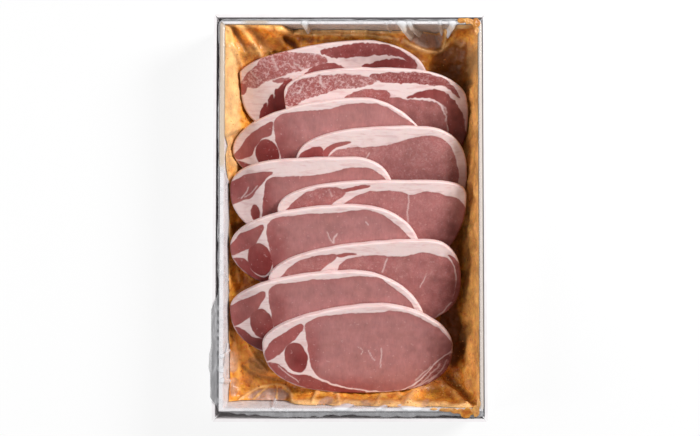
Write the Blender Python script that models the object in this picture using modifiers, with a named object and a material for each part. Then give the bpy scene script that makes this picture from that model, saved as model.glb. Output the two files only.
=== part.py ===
"""A carton tray lined with clear film, holding ten raw pork loin slices fanned on a bed of marinade paste.

Lengths below are in millimetres; the frame has +X across the tray, +Y towards its back and +Z up, with
the origin at the middle of the tray's underside, to within a millimetre.
"""

import math
from typing import NamedTuple

import bmesh
import bpy

TO_METRES = 0.001

# Carton: a base and two walls all round, the outer one apart from the inner one by an open slot
TRAY_LEFT = -107.2
TRAY_RIGHT = 105.5
TRAY_FRONT = -158.7
TRAY_BACK = 157.9
TRAY_HEIGHT = 52.0
BASE_BOARD = 2.0
OUTER_BOARD = 2.2
INNER_BOARD = 2.0
INNER_BOARD_LEFT = 2.9
SLOT_LEFT = 3.2
SLOT_RIGHT = 1.2
SLOT_BACK = 3.2
SLOT_FRONT = 5.9
SLOT_DEPTH = 24.0
MITRE_GAP = 0.9
MITRE_LENGTH = 22.0
BOARD_ROUND = 0.5

# Film: lies 0.5 mm off the carton, folds over the inner wall and hangs in the slot, but outside at one corner
FILM_THICKNESS = 0.4
FILM_STANDOFF = 0.5
FILM_CORNER = 0.8
FILM_FOOT = 0.4
FILM_MARGIN_CORNER = 0.3
FILM_MARGIN = 13.0
FILM_MARGIN_WAVE = 2.5
FLAP_MARGIN = 34.0
FLAP_BULGE = 3.7
FLAP_BULGE_DROP = 13.0
FLAP_BACK_END = -58.0
FLAP_BACK_RAMP = 72.0
FLAP_FRONT_RAMP = 44.0
FLAP_ACROSS = 6.0
STATIONS_LONG = 25
STATIONS_SHORT = 13
STATIONS_CORNER = 3
MARGIN_STEPS = (5.0, 14.0, 24.0, 34.0)

# Slices: all tilt alike, back edge up, each one on the one behind it
SLICE_THICKNESS = 7.2
SLICE_CLEARANCE = 0.35
SLICE_PITCH = 23.16
SLICE_EDGE_ROUND = 2.3
FIRST_TOE = 65.4
TOE_HEIGHT = 7.8
END_SAG = 4.0
SAG_LEFT_FROM = -70.0
SAG_RIGHT_FROM = 68.0
SAG_LENGTH = 28.0
OUTLINE_POINTS = 32
INNER_RINGS = (0.45, 0.72)

# Marinade paste
PASTE_LEVEL = 7.2
PASTE_LEAST = 4.8
PASTE_GAP = 0.5
PASTE_COAT_TOP = 38.0
PASTE_COAT_SPREAD = 2.8
PASTE_CELLS_ACROSS = 26
PASTE_CELLS_ALONG = 38
PASTE_WEDGE_DROP = 12.0
PASTE_BANK_TOP = 30.0
PASTE_CLEAR_OF_SLICE = 3.0
PASTE_SWELL_SLOPE = 1.1

WELL_LEFT = TRAY_LEFT + OUTER_BOARD + SLOT_LEFT + INNER_BOARD_LEFT
WELL_RIGHT = TRAY_RIGHT - OUTER_BOARD - SLOT_RIGHT - INNER_BOARD
WELL_FRONT = TRAY_FRONT + OUTER_BOARD + SLOT_FRONT + INNER_BOARD
WELL_BACK = TRAY_BACK - OUTER_BOARD - SLOT_BACK - INNER_BOARD
LINER = FILM_STANDOFF + FILM_THICKNESS / 2
PASTE_INSET = LINER + PASTE_GAP
TILT = math.asin((SLICE_THICKNESS + SLICE_CLEARANCE) / SLICE_PITCH)


class Slice(NamedTuple):
    """One slice seen square on: its four furthest points, across and up from its toe line.

    squareness gives the exponent of the rounded corner between each two of them, from 1, a straight
    chamfer, through 2, an ellipse, to a nearly square corner: back left, back right, front right, front left.
    """

    left: tuple
    back: tuple
    right: tuple
    front: tuple
    squareness: tuple


SLICES = (
    Slice((-89.5, 55.0), (11.0, 80.0), (61.0, 52.0), (-1.0, 2.0), (1.4, 1.85, 2.2, 3.6)),
    Slice((-53.5, 60.0), (19.0, 81.0), (95.0, 46.0), (19.0, 3.0), (2.4, 2.4, 3.6, 2.2)),
    Slice((-95.5, 40.0), (11.0, 79.8), (62.0, 38.0), (-6.0, 2.0), (1.9, 1.7, 2.0, 2.2)),
    Slice((-44.0, 50.0), (49.0, 80.5), (94.0, 42.0), (29.0, 2.0), (2.6, 2.5, 2.4, 2.2)),
    Slice((-97.0, 50.0), (-1.0, 79.0), (35.0, 46.0), (-26.0, 4.0), (3.1, 2.3, 2.0, 1.7)),
    Slice((-58.5, 58.0), (29.0, 83.7), (92.3, 66.0), (19.0, 4.0), (2.4, 5.0, 2.1, 2.2)),
    Slice((-97.0, 53.0), (3.0, 88.0), (56.0, 48.0), (-1.0, 10.0), (2.1, 2.0, 2.0, 2.1)),
    Slice((-66.0, 50.0), (57.0, 83.3), (88.5, 50.0), (19.0, 8.0), (2.05, 2.4, 2.4, 2.1)),
    Slice((-97.0, 50.0), (3.0, 82.0), (59.0, 40.0), (-6.0, 3.0), (1.95, 1.8, 2.0, 2.4)),
    Slice((-70.5, 46.0), (24.0, 78.8), (81.6, 44.0), (4.0, 2.3), (1.75, 1.75, 2.8, 2.5)),
)


# ---------------------------------------------------------------- helpers


def clear_scene():
    for obj in list(bpy.data.objects):
        bpy.data.objects.remove(obj)


def new_collection(name):
    collection = bpy.data.collections.new(name)
    bpy.context.scene.collection.children.link(collection)
    return collection


def new_material(name, colour, roughness, alpha=1.0):
    material = bpy.data.materials.new(name)
    material.use_nodes = True
    shader = material.node_tree.nodes["Principled BSDF"]
    shader.inputs["Base Color"].default_value = (*colour, 1.0)
    shader.inputs["Roughness"].default_value = roughness
    shader.inputs["Metallic"].default_value = 0.0
    shader.inputs["Alpha"].default_value = alpha
    return material


def object_from(bm, name, collection, material=None):
    """The bmesh, drawn in millimetres, as a named object in metres."""
    for vertex in bm.verts:
        vertex.co *= TO_METRES
    mesh = bpy.data.meshes.new(name)
    bm.to_mesh(mesh)
    bm.free()
    if material:
        mesh.materials.append(material)
    obj = bpy.data.objects.new(name, mesh)
    collection.objects.link(obj)
    return obj


def box(name, collection, low, high, turn=0.0, material=None):
    """A box between two corners, turned about its own upright axis."""
    bm = bmesh.new()
    bmesh.ops.create_cube(bm, size=1.0)
    for vertex in bm.verts:
        for axis in range(3):
            vertex.co[axis] *= high[axis] - low[axis]
    obj = object_from(bm, name, collection, material)
    obj.location = [(low[axis] + high[axis]) / 2 * TO_METRES for axis in range(3)]
    obj.rotation_euler.z = turn
    return obj


def make_cutter(obj):
    obj.hide_render = True
    obj.display_type = "WIRE"
    return obj


def loft(rings):
    """A tube of faces between rings of as many points each, left open at both ends."""
    bm = bmesh.new()
    rows = [[bm.verts.new(point) for point in ring] for ring in rings]
    for low, high in zip(rows, rows[1:]):
        for k in range(len(low)):
            after = (k + 1) % len(low)
            bm.faces.new((low[k], low[after], high[after], high[k]))
    return bm, rows


def smooth_step(value):
    value = min(max(value, 0.0), 1.0)
    return value * value * (3.0 - 2.0 * value)


# ---------------------------------------------------------------- carton tray


def slot_boxes():
    """The corners of the four open slots between the inner and outer walls."""
    left, right = TRAY_LEFT + OUTER_BOARD, TRAY_RIGHT - OUTER_BOARD
    front, back = TRAY_FRONT + OUTER_BOARD, TRAY_BACK - OUTER_BOARD
    floor = TRAY_HEIGHT - SLOT_DEPTH
    top = TRAY_HEIGHT + 1.0
    return {
        "left": ((left, front, floor), (left + SLOT_LEFT, back, top)),
        "right": ((right - SLOT_RIGHT, front, floor), (right, back, top)),
        "front": ((left, front, floor), (right, front + SLOT_FRONT, top)),
        "back": ((left, back - SLOT_BACK, floor), (right, back, top)),
    }


def make_tray(parts, cutters):
    """One carton: the well, the slots and the mitred corners are cut from a block."""
    card = new_material("white carton", (0.88, 0.87, 0.9), 0.55)
    low = (TRAY_LEFT, TRAY_FRONT, 0.0)
    high = (TRAY_RIGHT, TRAY_BACK, TRAY_HEIGHT)
    tray = box("carton_tray", parts, low, high, material=card)
    tools = [
        box(
            "cut_well",
            cutters,
            (WELL_LEFT, WELL_FRONT, BASE_BOARD),
            (WELL_RIGHT, WELL_BACK, TRAY_HEIGHT + 1.0),
        )
    ]
    for side, (slot_low, slot_high) in slot_boxes().items():
        tools.append(box("cut_slot_" + side, cutters, slot_low, slot_high))
    for across, x in ((-1, TRAY_LEFT), (1, TRAY_RIGHT)):
        for along, y in ((-1, TRAY_FRONT), (1, TRAY_BACK)):
            tools.append(
                box(
                    f"cut_mitre_{across}_{along}",
                    cutters,
                    (x - MITRE_LENGTH / 2, y - MITRE_GAP / 2, TRAY_HEIGHT - SLOT_DEPTH),
                    (x + MITRE_LENGTH / 2, y + MITRE_GAP / 2, TRAY_HEIGHT + 1.0),
                    turn=across * along * math.pi / 4,
                )
            )
    for tool in tools:
        cut = tray.modifiers.new(tool.name, "BOOLEAN")
        cut.operation = "DIFFERENCE"
        cut.object = make_cutter(tool)
    bevel = tray.modifiers.new("soft board edges", "BEVEL")
    bevel.width = BOARD_ROUND * TO_METRES
    bevel.segments = 1
    bevel.limit_method = "ANGLE"
    bevel.angle_limit = math.radians(60)
    return tray


# ---------------------------------------------------------------- film liner


def rounded_ring(left, right, front, back, corner):
    """Points round a rectangle with round corners, from the middle of the front's left corner, anticlockwise."""
    centres = (
        (right - corner, front + corner),
        (right - corner, back - corner),
        (left + corner, back - corner),
        (left + corner, front + corner),
    )
    sides = (STATIONS_SHORT, STATIONS_LONG, STATIONS_SHORT, STATIONS_LONG)
    points = []
    for k, (centre, count) in enumerate(zip(centres, sides)):
        before = centres[k - 1]
        normal = -math.pi / 2 + k * math.pi / 2
        for step in range(1, count + 1):
            share = step / (count + 1)
            x = before[0] + (centre[0] - before[0]) * share + corner * math.cos(normal)
            y = before[1] + (centre[1] - before[1]) * share + corner * math.sin(normal)
            points.append((x, y))
        for step in range(STATIONS_CORNER):
            angle = normal + math.pi / 2 * step / (STATIONS_CORNER - 1)
            points.append((centre[0] + corner * math.cos(angle), centre[1] + corner * math.sin(angle)))
    return points


def slot_path(run):
    """Where the film is, out from the inner wall's outer face and up, this far past its turn over the wall."""
    return FILM_STANDOFF, TRAY_HEIGHT + FILM_STANDOFF + 0.1 - run


def flap_path(run):
    """The same for film that crosses the slot and the outer wall and bows out as it hangs down."""
    across = SLOT_LEFT + OUTER_BOARD + 0.9 - FILM_STANDOFF
    top = TRAY_HEIGHT + FILM_STANDOFF + 0.1
    if run < across:
        return FILM_STANDOFF + run, top + 0.5 * smooth_step(run / across)
    fall = run - across
    bow = FLAP_BULGE * smooth_step(fall / FLAP_BULGE_DROP) * (1.0 - 0.4 * fall / FLAP_MARGIN)
    return FILM_STANDOFF + across + bow, top + 0.5 - fall


def margin_at(x, y):
    """How long the film's margin is here, and whether it is the flap that hangs outside."""
    on_left = x < WELL_LEFT
    reach = (FLAP_BACK_END - y) / FLAP_BACK_RAMP
    if on_left and reach > 0:
        reach = min(reach, (y - WELL_FRONT) / FLAP_FRONT_RAMP)
        hanging = FLAP_MARGIN - FLAP_ACROSS - 0.4
        return 0.4 + FLAP_ACROSS * smooth_step(reach * 4) + hanging * smooth_step(reach * 2 - 1), True
    margin = FILM_MARGIN + FILM_MARGIN_WAVE * math.sin(x / 9.0 + y / 13.0)
    if on_left:
        margin = 0.4 + (margin - 0.4) * smooth_step(-reach * 2.0)
    elif y < WELL_FRONT:
        margin = 0.4 + (margin - 0.4) * smooth_step((x - WELL_LEFT) / 24.0)
    return margin, False


def film_rings():
    """Rings from the middle of the floor, up the walls, over the inner wall and along the margin."""

    def ring(inset, height, corner, thicker_left=0.0):
        left = WELL_LEFT + inset - thicker_left
        points = rounded_ring(left, WELL_RIGHT - inset, WELL_FRONT + inset, WELL_BACK - inset, corner)
        return [(x, y, height) for x, y in points]

    stand = FILM_STANDOFF
    floor = BASE_BOARD + stand
    rings = [
        ring(stand + FILM_FOOT, floor, FILM_CORNER),
        ring(stand, floor + FILM_FOOT, FILM_CORNER),
        ring(stand, TRAY_HEIGHT + stand + 0.1, FILM_CORNER),
    ]
    thicker = INNER_BOARD_LEFT - INNER_BOARD
    foot = ring(-INNER_BOARD, 0.0, FILM_MARGIN_CORNER, thicker)
    away = ring(-INNER_BOARD - 1.0, 0.0, FILM_MARGIN_CORNER + 1.0, thicker)
    for row in range(len(MARGIN_STEPS) + 1):
        points = []
        for (x, y, _), (far_x, far_y, _) in zip(foot, away):
            margin, outside = margin_at(x, y)
            run = 0.0
            if row:
                run = min(MARGIN_STEPS[row - 1], margin * (0.8 + 0.05 * row))
            out, height = flap_path(run) if outside else slot_path(run)
            points.append((x + (far_x - x) * out, y + (far_y - y) * out, height))
        rings.append(points)
    return rings


def make_film(parts):
    film = new_material("clear film", (0.8, 0.8, 0.82), 0.12, alpha=0.35)
    bm, rows = loft(film_rings())
    bm.faces.new(rows[0])
    bmesh.ops.recalc_face_normals(bm, faces=bm.faces)
    liner = object_from(bm, "film_liner", parts, film)
    wall = liner.modifiers.new("film thickness", "SOLIDIFY")
    wall.thickness = FILM_THICKNESS * TO_METRES
    wall.offset = 0.0
    liner.data.shade_smooth()
    return liner


# ---------------------------------------------------------------- pork slices


def toe_of(index):
    return FIRST_TOE - index * SLICE_PITCH


def bend(x, y):
    """The soft waves that run through the whole stack alike."""
    return 1.1 * math.sin(x / 38.0 + y / 60.0) + 0.7 * math.sin(y / 33.0 - x / 55.0)


def sag(x, up):
    """How far a slice's free end droops, this far up from its toe line."""
    left = smooth_step((SAG_LEFT_FROM - x) / SAG_LENGTH)
    right = smooth_step((x - SAG_RIGHT_FROM) / SAG_LENGTH)
    return END_SAG * max(left, right) * smooth_step((up - 10.0) / 45.0)


def middle_height(index, x, y):
    """Height of a slice's middle surface above this place."""
    rise = (y - toe_of(index)) * math.tan(TILT)
    half = SLICE_THICKNESS / 2 / math.cos(TILT)
    up = (y - toe_of(index)) / math.cos(TILT)
    return TOE_HEIGHT + half + rise + bend(x, y) - sag(x, up)


def slice_outline(shape, count):
    """Points round a slice in its own plane: four rounded corners between its four furthest points."""
    furthest = (shape.left, shape.back, shape.right, shape.front)
    per_corner = count // 4
    points = []
    for k in range(4):
        start, end = furthest[k], furthest[(k + 1) % 4]
        upright_first = k % 2 == 0
        centre = (end[0], start[1]) if upright_first else (start[0], end[1])
        exponent = 2.0 / shape.squareness[k]
        for step in range(per_corner):
            angle = math.pi / 2 * step / per_corner
            from_start = math.cos(angle) ** exponent
            from_end = math.sin(angle) ** exponent
            points.append(
                (
                    centre[0] + (start[0] - centre[0]) * from_start + (end[0] - centre[0]) * from_end,
                    centre[1] + (start[1] - centre[1]) * from_start + (end[1] - centre[1]) * from_end,
                )
            )
    return points


def middle_of(shape):
    across = (shape.left[0] + shape.right[0]) / 2
    up = (shape.back[1] + shape.front[1]) / 2
    return across, up


def shrunk(points, middle, share=None, inset=0.0):
    """The outline drawn in towards its middle, to a share of its size or by an inset."""
    result = []
    for x, y in points:
        away = math.hypot(x - middle[0], y - middle[1])
        scale = share if share else 1.0 - inset / away
        result.append((middle[0] + (x - middle[0]) * scale, middle[1] + (y - middle[1]) * scale))
    return result


def slice_point(index, across, up, height):
    """A point of a slice in the tray's frame; height is up from its middle surface, square to it."""
    y = toe_of(index) + up * math.cos(TILT)
    return (
        across,
        y - height * math.sin(TILT),
        middle_height(index, across, y) + height * math.cos(TILT),
    )


def make_slice(index, shape, parts, material):
    outline = slice_outline(shape, OUTLINE_POINTS)
    middle = middle_of(shape)
    half = SLICE_THICKNESS / 2
    edge = half - SLICE_EDGE_ROUND
    face_rings = [shrunk(outline, middle, share=share) for share in INNER_RINGS]
    face_rings.append(shrunk(outline, middle, inset=SLICE_EDGE_ROUND))
    levels = [(ring, -half) for ring in face_rings]
    levels += [(outline, -edge), (outline, edge)]
    levels += [(ring, half) for ring in reversed(face_rings)]
    rings = [[slice_point(index, x, y, height) for x, y in ring] for ring, height in levels]
    bm, rows = loft(rings)
    for row, height in ((rows[0], -half), (rows[-1], half)):
        centre = bm.verts.new(slice_point(index, *middle, height))
        for k in range(len(row)):
            bm.faces.new((row[k], row[(k + 1) % len(row)], centre))
    bmesh.ops.recalc_face_normals(bm, faces=bm.faces)
    obj = object_from(bm, f"pork_slice_{index + 1:02d}", parts, material)
    obj.data.shade_smooth()
    return obj


# ---------------------------------------------------------------- marinade paste


def distance_outside(points, x, y):
    """How far a place lies outside a closed outline, or 0 inside it."""
    hit = False
    nearest = math.inf
    for (ax, ay), (bx, by) in zip(points, points[1:] + points[:1]):
        if (ay > y) != (by > y) and x < (bx - ax) * (y - ay) / (by - ay) + ax:
            hit = not hit
        length_squared = (bx - ax) ** 2 + (by - ay) ** 2
        share = ((x - ax) * (bx - ax) + (y - ay) * (by - ay)) / length_squared
        share = min(max(share, 0.0), 1.0)
        nearest = min(nearest, math.hypot(x - ax - (bx - ax) * share, y - ay - (by - ay) * share))
    return 0.0 if hit else nearest


def slice_footprints():
    """Each slice's outline from above, a little larger than the slice."""
    prints = []
    for index, shape in enumerate(SLICES):
        outline = slice_outline(shape, OUTLINE_POINTS)
        grown = shrunk(outline, middle_of(shape), inset=-PASTE_CLEAR_OF_SLICE)
        prints.append([(x, toe_of(index) + up * math.cos(TILT)) for x, up in grown])
    return prints


def free_paste_height(x, y):
    """Height of the paste where no slice presses on it: a bed, a coat up each wall, a bank at the back."""
    to_wall = min(x - WELL_LEFT, WELL_RIGHT - x, y - WELL_FRONT, WELL_BACK - y) - PASTE_INSET
    coat = (PASTE_COAT_TOP - PASTE_LEVEL) * math.exp(-max(to_wall, 0.0) / PASTE_COAT_SPREAD)
    bank = min(TOE_HEIGHT + (y - FIRST_TOE) * math.tan(TILT) + bend(x, y), PASTE_BANK_TOP)
    bank -= PASTE_WEDGE_DROP * smooth_step((x - 52.0) / 24.0)
    ripple = 0.7 * math.sin(x / 11.0) * math.cos(y / 14.0)
    return max(PASTE_LEVEL + ripple + coat, bank)


def paste_height(x, y, prints):
    """The paste swells up beside each slice, but stays under it."""
    height = free_paste_height(x, y)
    half = SLICE_THICKNESS / 2 / math.cos(TILT)
    for index, points in enumerate(prints):
        swell = PASTE_SWELL_SLOPE * distance_outside(points, x, y)
        height = min(height, middle_height(index, x, y) - half - 2 * PASTE_GAP + swell)
    return max(height, PASTE_LEAST)


def make_paste(parts):
    """A grid, closer towards the walls, raised to the paste's height over a flat underside."""
    paste = new_material("marinade paste", (0.5, 0.24, 0.06), 0.3)
    prints = slice_footprints()
    bm = bmesh.new()
    bmesh.ops.create_grid(
        bm, x_segments=PASTE_CELLS_ACROSS, y_segments=PASTE_CELLS_ALONG, size=1.0
    )
    middle_x, half_x = (WELL_LEFT + WELL_RIGHT) / 2, (WELL_RIGHT - WELL_LEFT) / 2 - PASTE_INSET
    middle_y, half_y = (WELL_FRONT + WELL_BACK) / 2, (WELL_BACK - WELL_FRONT) / 2 - PASTE_INSET
    for vertex in bm.verts:
        vertex.co.x = middle_x + half_x * math.sin(math.pi / 2 * vertex.co.x)
        vertex.co.y = middle_y + half_y * math.sin(math.pi / 2 * vertex.co.y)
        vertex.co.z = BASE_BOARD + LINER + PASTE_GAP
    underside = list(bm.faces)
    raised = bmesh.ops.extrude_face_region(bm, geom=underside, use_keep_orig=True)
    for item in raised["geom"]:
        if isinstance(item, bmesh.types.BMVert):
            item.co.z = paste_height(item.co.x, item.co.y, prints)
    bmesh.ops.dissolve_faces(bm, faces=underside, use_verts=True)
    bmesh.ops.recalc_face_normals(bm, faces=bm.faces)
    obj = object_from(bm, "marinade_paste", parts, paste)
    obj.data.shade_smooth()
    return obj


def main():
    clear_scene()
    parts = new_collection("meat tray pack")
    cutters = new_collection("cutters")
    make_tray(parts, cutters)
    make_film(parts)
    make_paste(parts)
    pork = new_material("raw pork", (0.42, 0.15, 0.15), 0.4)
    for index, shape in enumerate(SLICES):
        make_slice(index, shape, parts, pork)


main()
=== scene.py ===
"""A carton tray lined with clear film, holding ten raw pork loin slices fanned on a bed of marinade paste.

Lengths are in millimetres until a mesh is made. The frame is the solids' own: +X across the tray, +Y towards
its back and +Z up, with the origin at the middle of the tray's underside.
"""

import math
from typing import NamedTuple

import bmesh
import bpy
import numpy as np
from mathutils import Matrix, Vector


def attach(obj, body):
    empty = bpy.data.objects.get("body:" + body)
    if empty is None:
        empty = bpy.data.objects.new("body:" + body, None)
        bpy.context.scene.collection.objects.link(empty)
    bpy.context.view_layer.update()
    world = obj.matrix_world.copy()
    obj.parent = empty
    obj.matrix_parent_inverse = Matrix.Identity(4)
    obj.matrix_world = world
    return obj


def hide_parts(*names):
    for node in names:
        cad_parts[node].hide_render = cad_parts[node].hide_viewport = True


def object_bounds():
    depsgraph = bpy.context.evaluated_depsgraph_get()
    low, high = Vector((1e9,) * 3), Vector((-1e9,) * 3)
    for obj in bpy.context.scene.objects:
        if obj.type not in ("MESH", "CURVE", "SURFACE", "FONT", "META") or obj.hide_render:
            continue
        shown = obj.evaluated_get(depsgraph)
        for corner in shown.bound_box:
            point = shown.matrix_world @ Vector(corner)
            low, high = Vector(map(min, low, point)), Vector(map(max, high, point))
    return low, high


bl_info = {
    "name": "Meat tray pack",
    "version": (1, 0, 0),
    "blender": (4, 5, 0),
    "location": "View3D > Sidebar > Meat tray",
    "description": "Dresses a packed tray of marinated pork slices",
    "category": "Add Mesh",
}

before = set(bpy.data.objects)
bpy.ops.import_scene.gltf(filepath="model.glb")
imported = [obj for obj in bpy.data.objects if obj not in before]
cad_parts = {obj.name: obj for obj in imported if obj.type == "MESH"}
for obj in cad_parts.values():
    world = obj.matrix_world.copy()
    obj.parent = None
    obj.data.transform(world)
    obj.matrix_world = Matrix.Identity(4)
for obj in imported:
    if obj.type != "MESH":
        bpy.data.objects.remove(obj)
SOLID_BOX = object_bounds()

TO_METRES = 0.001

# The tray's own sizes, as its solids are drawn
TRAY_LEFT = -107.2
TRAY_RIGHT = 105.5
TRAY_FRONT = -158.7
TRAY_BACK = 157.9
TRAY_HEIGHT = 52.0
OUTER_BOARD = 2.2
INNER_BOARD = 2.0
INNER_BOARD_LEFT = 2.9
SLOT_LEFT = 3.2
SLOT_RIGHT = 1.2
SLOT_BACK = 3.2
SLOT_FRONT = 5.9
WELL_LEFT = TRAY_LEFT + OUTER_BOARD + SLOT_LEFT + INNER_BOARD_LEFT
WELL_RIGHT = TRAY_RIGHT - OUTER_BOARD - SLOT_RIGHT - INNER_BOARD
WELL_FRONT = TRAY_FRONT + OUTER_BOARD + SLOT_FRONT + INNER_BOARD
WELL_BACK = TRAY_BACK - OUTER_BOARD - SLOT_BACK - INNER_BOARD

# The slices: all tilt alike, back edge up, each one on the one behind it
SLICE_THICKNESS = 7.2
SLICE_CLEARANCE = 0.35
SLICE_PITCH = 23.16
FIRST_TOE = 65.4
TOE_HEIGHT = 7.8
END_SAG = 4.0
SAG_LEFT_FROM = -70.0
SAG_RIGHT_FROM = 68.0
SAG_LENGTH = 28.0
TILT = math.asin((SLICE_THICKNESS + SLICE_CLEARANCE) / SLICE_PITCH)

# The paste bed
PASTE_LEVEL = 7.2
PASTE_LEAST = 4.8
PASTE_INSET = 0.72
PASTE_CLEAR_OF_SKIRT = 0.1
PASTE_COAT_TOP = 38.0
PASTE_COAT_SPREAD = 2.8
PASTE_WEDGE_DROP = 12.0
PASTE_BANK_TOP = 30.0
PASTE_CLEAR_OF_SLICE = 3.0
PASTE_SWELL_SLOPE = 1.1

# No piece stands higher than the solids do
TOP_LIMIT = SOLID_BOX[1][2] / TO_METRES - 0.02


# ---------------------------------------------------------------- number helpers


def smooth_step(value):
    value = np.clip(value, 0.0, 1.0)
    return value * value * (3.0 - 2.0 * value)


def lattice(column, row, seed):
    """A repeatable number from -1 to 1 for each whole-numbered place."""
    mixed = (column * 374761393 + row * 668265263 + seed * 974634777) & 0xFFFFFFFF
    mixed = ((mixed ^ (mixed >> 13)) * 1274126177) & 0xFFFFFFFF
    return ((mixed ^ (mixed >> 16)) & 0xFFFF) / 32767.5 - 1.0


def lumps(x, y, size, seed=0):
    """Smooth noise from -1 to 1 whose lumps are about this far apart."""
    across, along = np.asarray(x) / size, np.asarray(y) / size
    column, row = np.floor(across).astype(np.int64), np.floor(along).astype(np.int64)
    right, up = smooth_step(across - column), smooth_step(along - row)
    near = lattice(column, row, seed) * (1 - right) + lattice(column + 1, row, seed) * right
    far = lattice(column, row + 1, seed) * (1 - right) + lattice(column + 1, row + 1, seed) * right
    return near * (1 - up) + far * up


def rounded(points, steps=8, closed=True):
    """A smooth line through the points."""
    here = np.array(points, float)
    if not closed:
        here = np.vstack((2 * here[0] - here[1], here, 2 * here[-1] - here[-2]))
    before, after, beyond = np.roll(here, 1, 0), np.roll(here, -1, 0), np.roll(here, -2, 0)
    t = np.linspace(0.0, 1.0, steps, endpoint=False)[:, None, None]
    line = 2 * here + (after - before) * t
    line = line + (2 * before - 5 * here + 4 * after - beyond) * t**2
    line = line + (3 * here - before - 3 * after + beyond) * t**3
    line = (line / 2).transpose(1, 0, 2)
    if closed:
        return line.reshape(-1, 2)
    return np.vstack((line[1:-2].reshape(-1, 2), here[-2]))


def distance_to(line, x, y, closed=True):
    """How far each place is from a line."""
    nearest = np.full(x.shape, np.inf)
    ends = np.roll(line, -1, 0)
    count = len(line) if closed else len(line) - 1
    for (ax, ay), (bx, by) in zip(line[:count], ends[:count]):
        length_squared = max((bx - ax) ** 2 + (by - ay) ** 2, 1e-9)
        share = np.clip(((x - ax) * (bx - ax) + (y - ay) * (by - ay)) / length_squared, 0.0, 1.0)
        away = (x - ax - (bx - ax) * share) ** 2 + (y - ay - (by - ay) * share) ** 2
        nearest = np.minimum(nearest, away)
    return np.sqrt(nearest)


def inside(outline, x, y):
    """True for each place within a closed outline."""
    hit = np.zeros(x.shape, bool)
    for (ax, ay), (bx, by) in zip(outline, np.roll(outline, -1, 0)):
        if ay != by:
            hit ^= ((ay > y) != (by > y)) & (x < (bx - ax) * (y - ay) / (by - ay) + ax)
    return hit


def depth_in(outline, x, y):
    """Distance to a closed outline, positive inside it."""
    away = distance_to(outline, x, y)
    return np.where(inside(outline, x, y), away, -away)


# ---------------------------------------------------------------- mesh and material helpers


def piece_from(name, points, faces):
    """A new object from points in millimetres."""
    mesh = bpy.data.meshes.new(name)
    mesh.from_pydata((np.asarray(points, float) * TO_METRES).tolist(), [], faces)
    mesh.validate()
    mesh.shade_smooth()
    obj = bpy.data.objects.new(name, mesh)
    bpy.context.scene.collection.objects.link(obj)
    return obj


def grid_faces(rows, columns, start=0, wrap=False):
    """Quads between rows of points, numbered row by row."""
    across = np.arange(columns if wrap else columns - 1)
    row = np.arange(rows - 1)[:, None] * columns + start
    after = (across + 1) % columns
    quads = np.stack((row + across, row + after, row + columns + after, row + columns + across), -1)
    return quads.reshape(-1, 4)


def point_out(obj):
    """Turns every face of a closed mesh outwards."""
    bm = bmesh.new()
    bm.from_mesh(obj.data)
    bmesh.ops.recalc_face_normals(bm, faces=bm.faces)
    bm.to_mesh(obj.data)
    bm.free()


def paint(obj, name, values):
    """Keeps one number for each point of a mesh, for its material to read."""
    attribute = obj.data.attributes.new(name, "FLOAT", "POINT")
    attribute.data.foreach_set("value", np.asarray(values, np.float32).ravel())


def settle(piece, slot, *replaced):
    """Hangs a finished piece under the root body and hides the solids it replaces."""
    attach(piece, "root")
    if replaced:
        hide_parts(*replaced)


def linear(hex_colour):
    """A #RRGGBB colour as linear light."""
    shares = [int(hex_colour[k : k + 2], 16) / 255 for k in (1, 3, 5)]
    return tuple(s / 12.92 if s <= 0.04045 else ((s + 0.055) / 1.055) ** 2.4 for s in shares)


def opaque(colour):
    return (*colour, 1.0)


def add_node(tree, kind, inputs=None, stops=None, **settings):
    """One node with its settings, its input values or links and, on a ramp, its colour stops."""
    made = tree.nodes.new(kind)
    for name, value in settings.items():
        setattr(made, name, value)
    for key, value in (inputs or {}).items():
        if isinstance(value, bpy.types.NodeSocket):
            tree.links.new(value, made.inputs[key])
        else:
            made.inputs[key].default_value = value
    for place, (position, colour) in enumerate(stops or ()):
        elements = made.color_ramp.elements
        element = elements[place] if place < 2 else elements.new(position)
        element.position = position
        element.color = opaque(colour)
    return made


def new_finish(name):
    """An empty material with its node tree, its shader and its coordinates."""
    material = bpy.data.materials.new(name)
    material.use_nodes = True
    tree = material.node_tree
    place = add_node(tree, "ShaderNodeTexCoord").outputs["Object"]
    return material, tree, tree.nodes["Principled BSDF"], place


# ---------------------------------------------------------------- settings


class PorkLooks(bpy.types.PropertyGroup):
    """Colours and surface of the pork."""

    eye: bpy.props.FloatVectorProperty(
        name="Loin", description="The pale main muscle", subtype="COLOR", default=linear("#B27876")
    )
    red: bpy.props.FloatVectorProperty(
        name="Red muscle", description="The muscles round the loin", subtype="COLOR", default=linear("#A35552")
    )
    dark: bpy.props.FloatVectorProperty(
        name="Dark muscle", description="The darkest muscles", subtype="COLOR", default=linear("#8A3A38")
    )
    dull: bpy.props.FloatVectorProperty(
        name="Dull patches", description="Loin where it is a little drier", subtype="COLOR", default=linear("#A6706A")
    )
    flush: bpy.props.FloatVectorProperty(
        name="Flush", description="What redder meat is tinted with", subtype="COLOR", default=linear("#DDB4B4")
    )
    # painted shade with some browning: the colour that the shaded ends are multiplied by
    shade_and_browning: bpy.props.FloatVectorProperty(
        name="Browning", description="What the browned ends are tinted with", subtype="COLOR", default=linear("#A08684")
    )
    fat: bpy.props.FloatVectorProperty(
        name="Fat", description="The fat cap and seams", subtype="COLOR", default=linear("#EBD3D0")
    )
    blush: bpy.props.FloatVectorProperty(
        name="Pink fat", description="Fat over meat", subtype="COLOR", default=linear("#DBB2B0")
    )
    cells_across: bpy.props.IntProperty(
        name="Cells across", description="Faces across one slice", default=208, min=40, max=280
    )
    edge_round: bpy.props.FloatProperty(
        name="Edge round", description="Radius of a slice's edge in millimetres", default=1.5, min=0.5, max=3.0
    )


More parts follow.
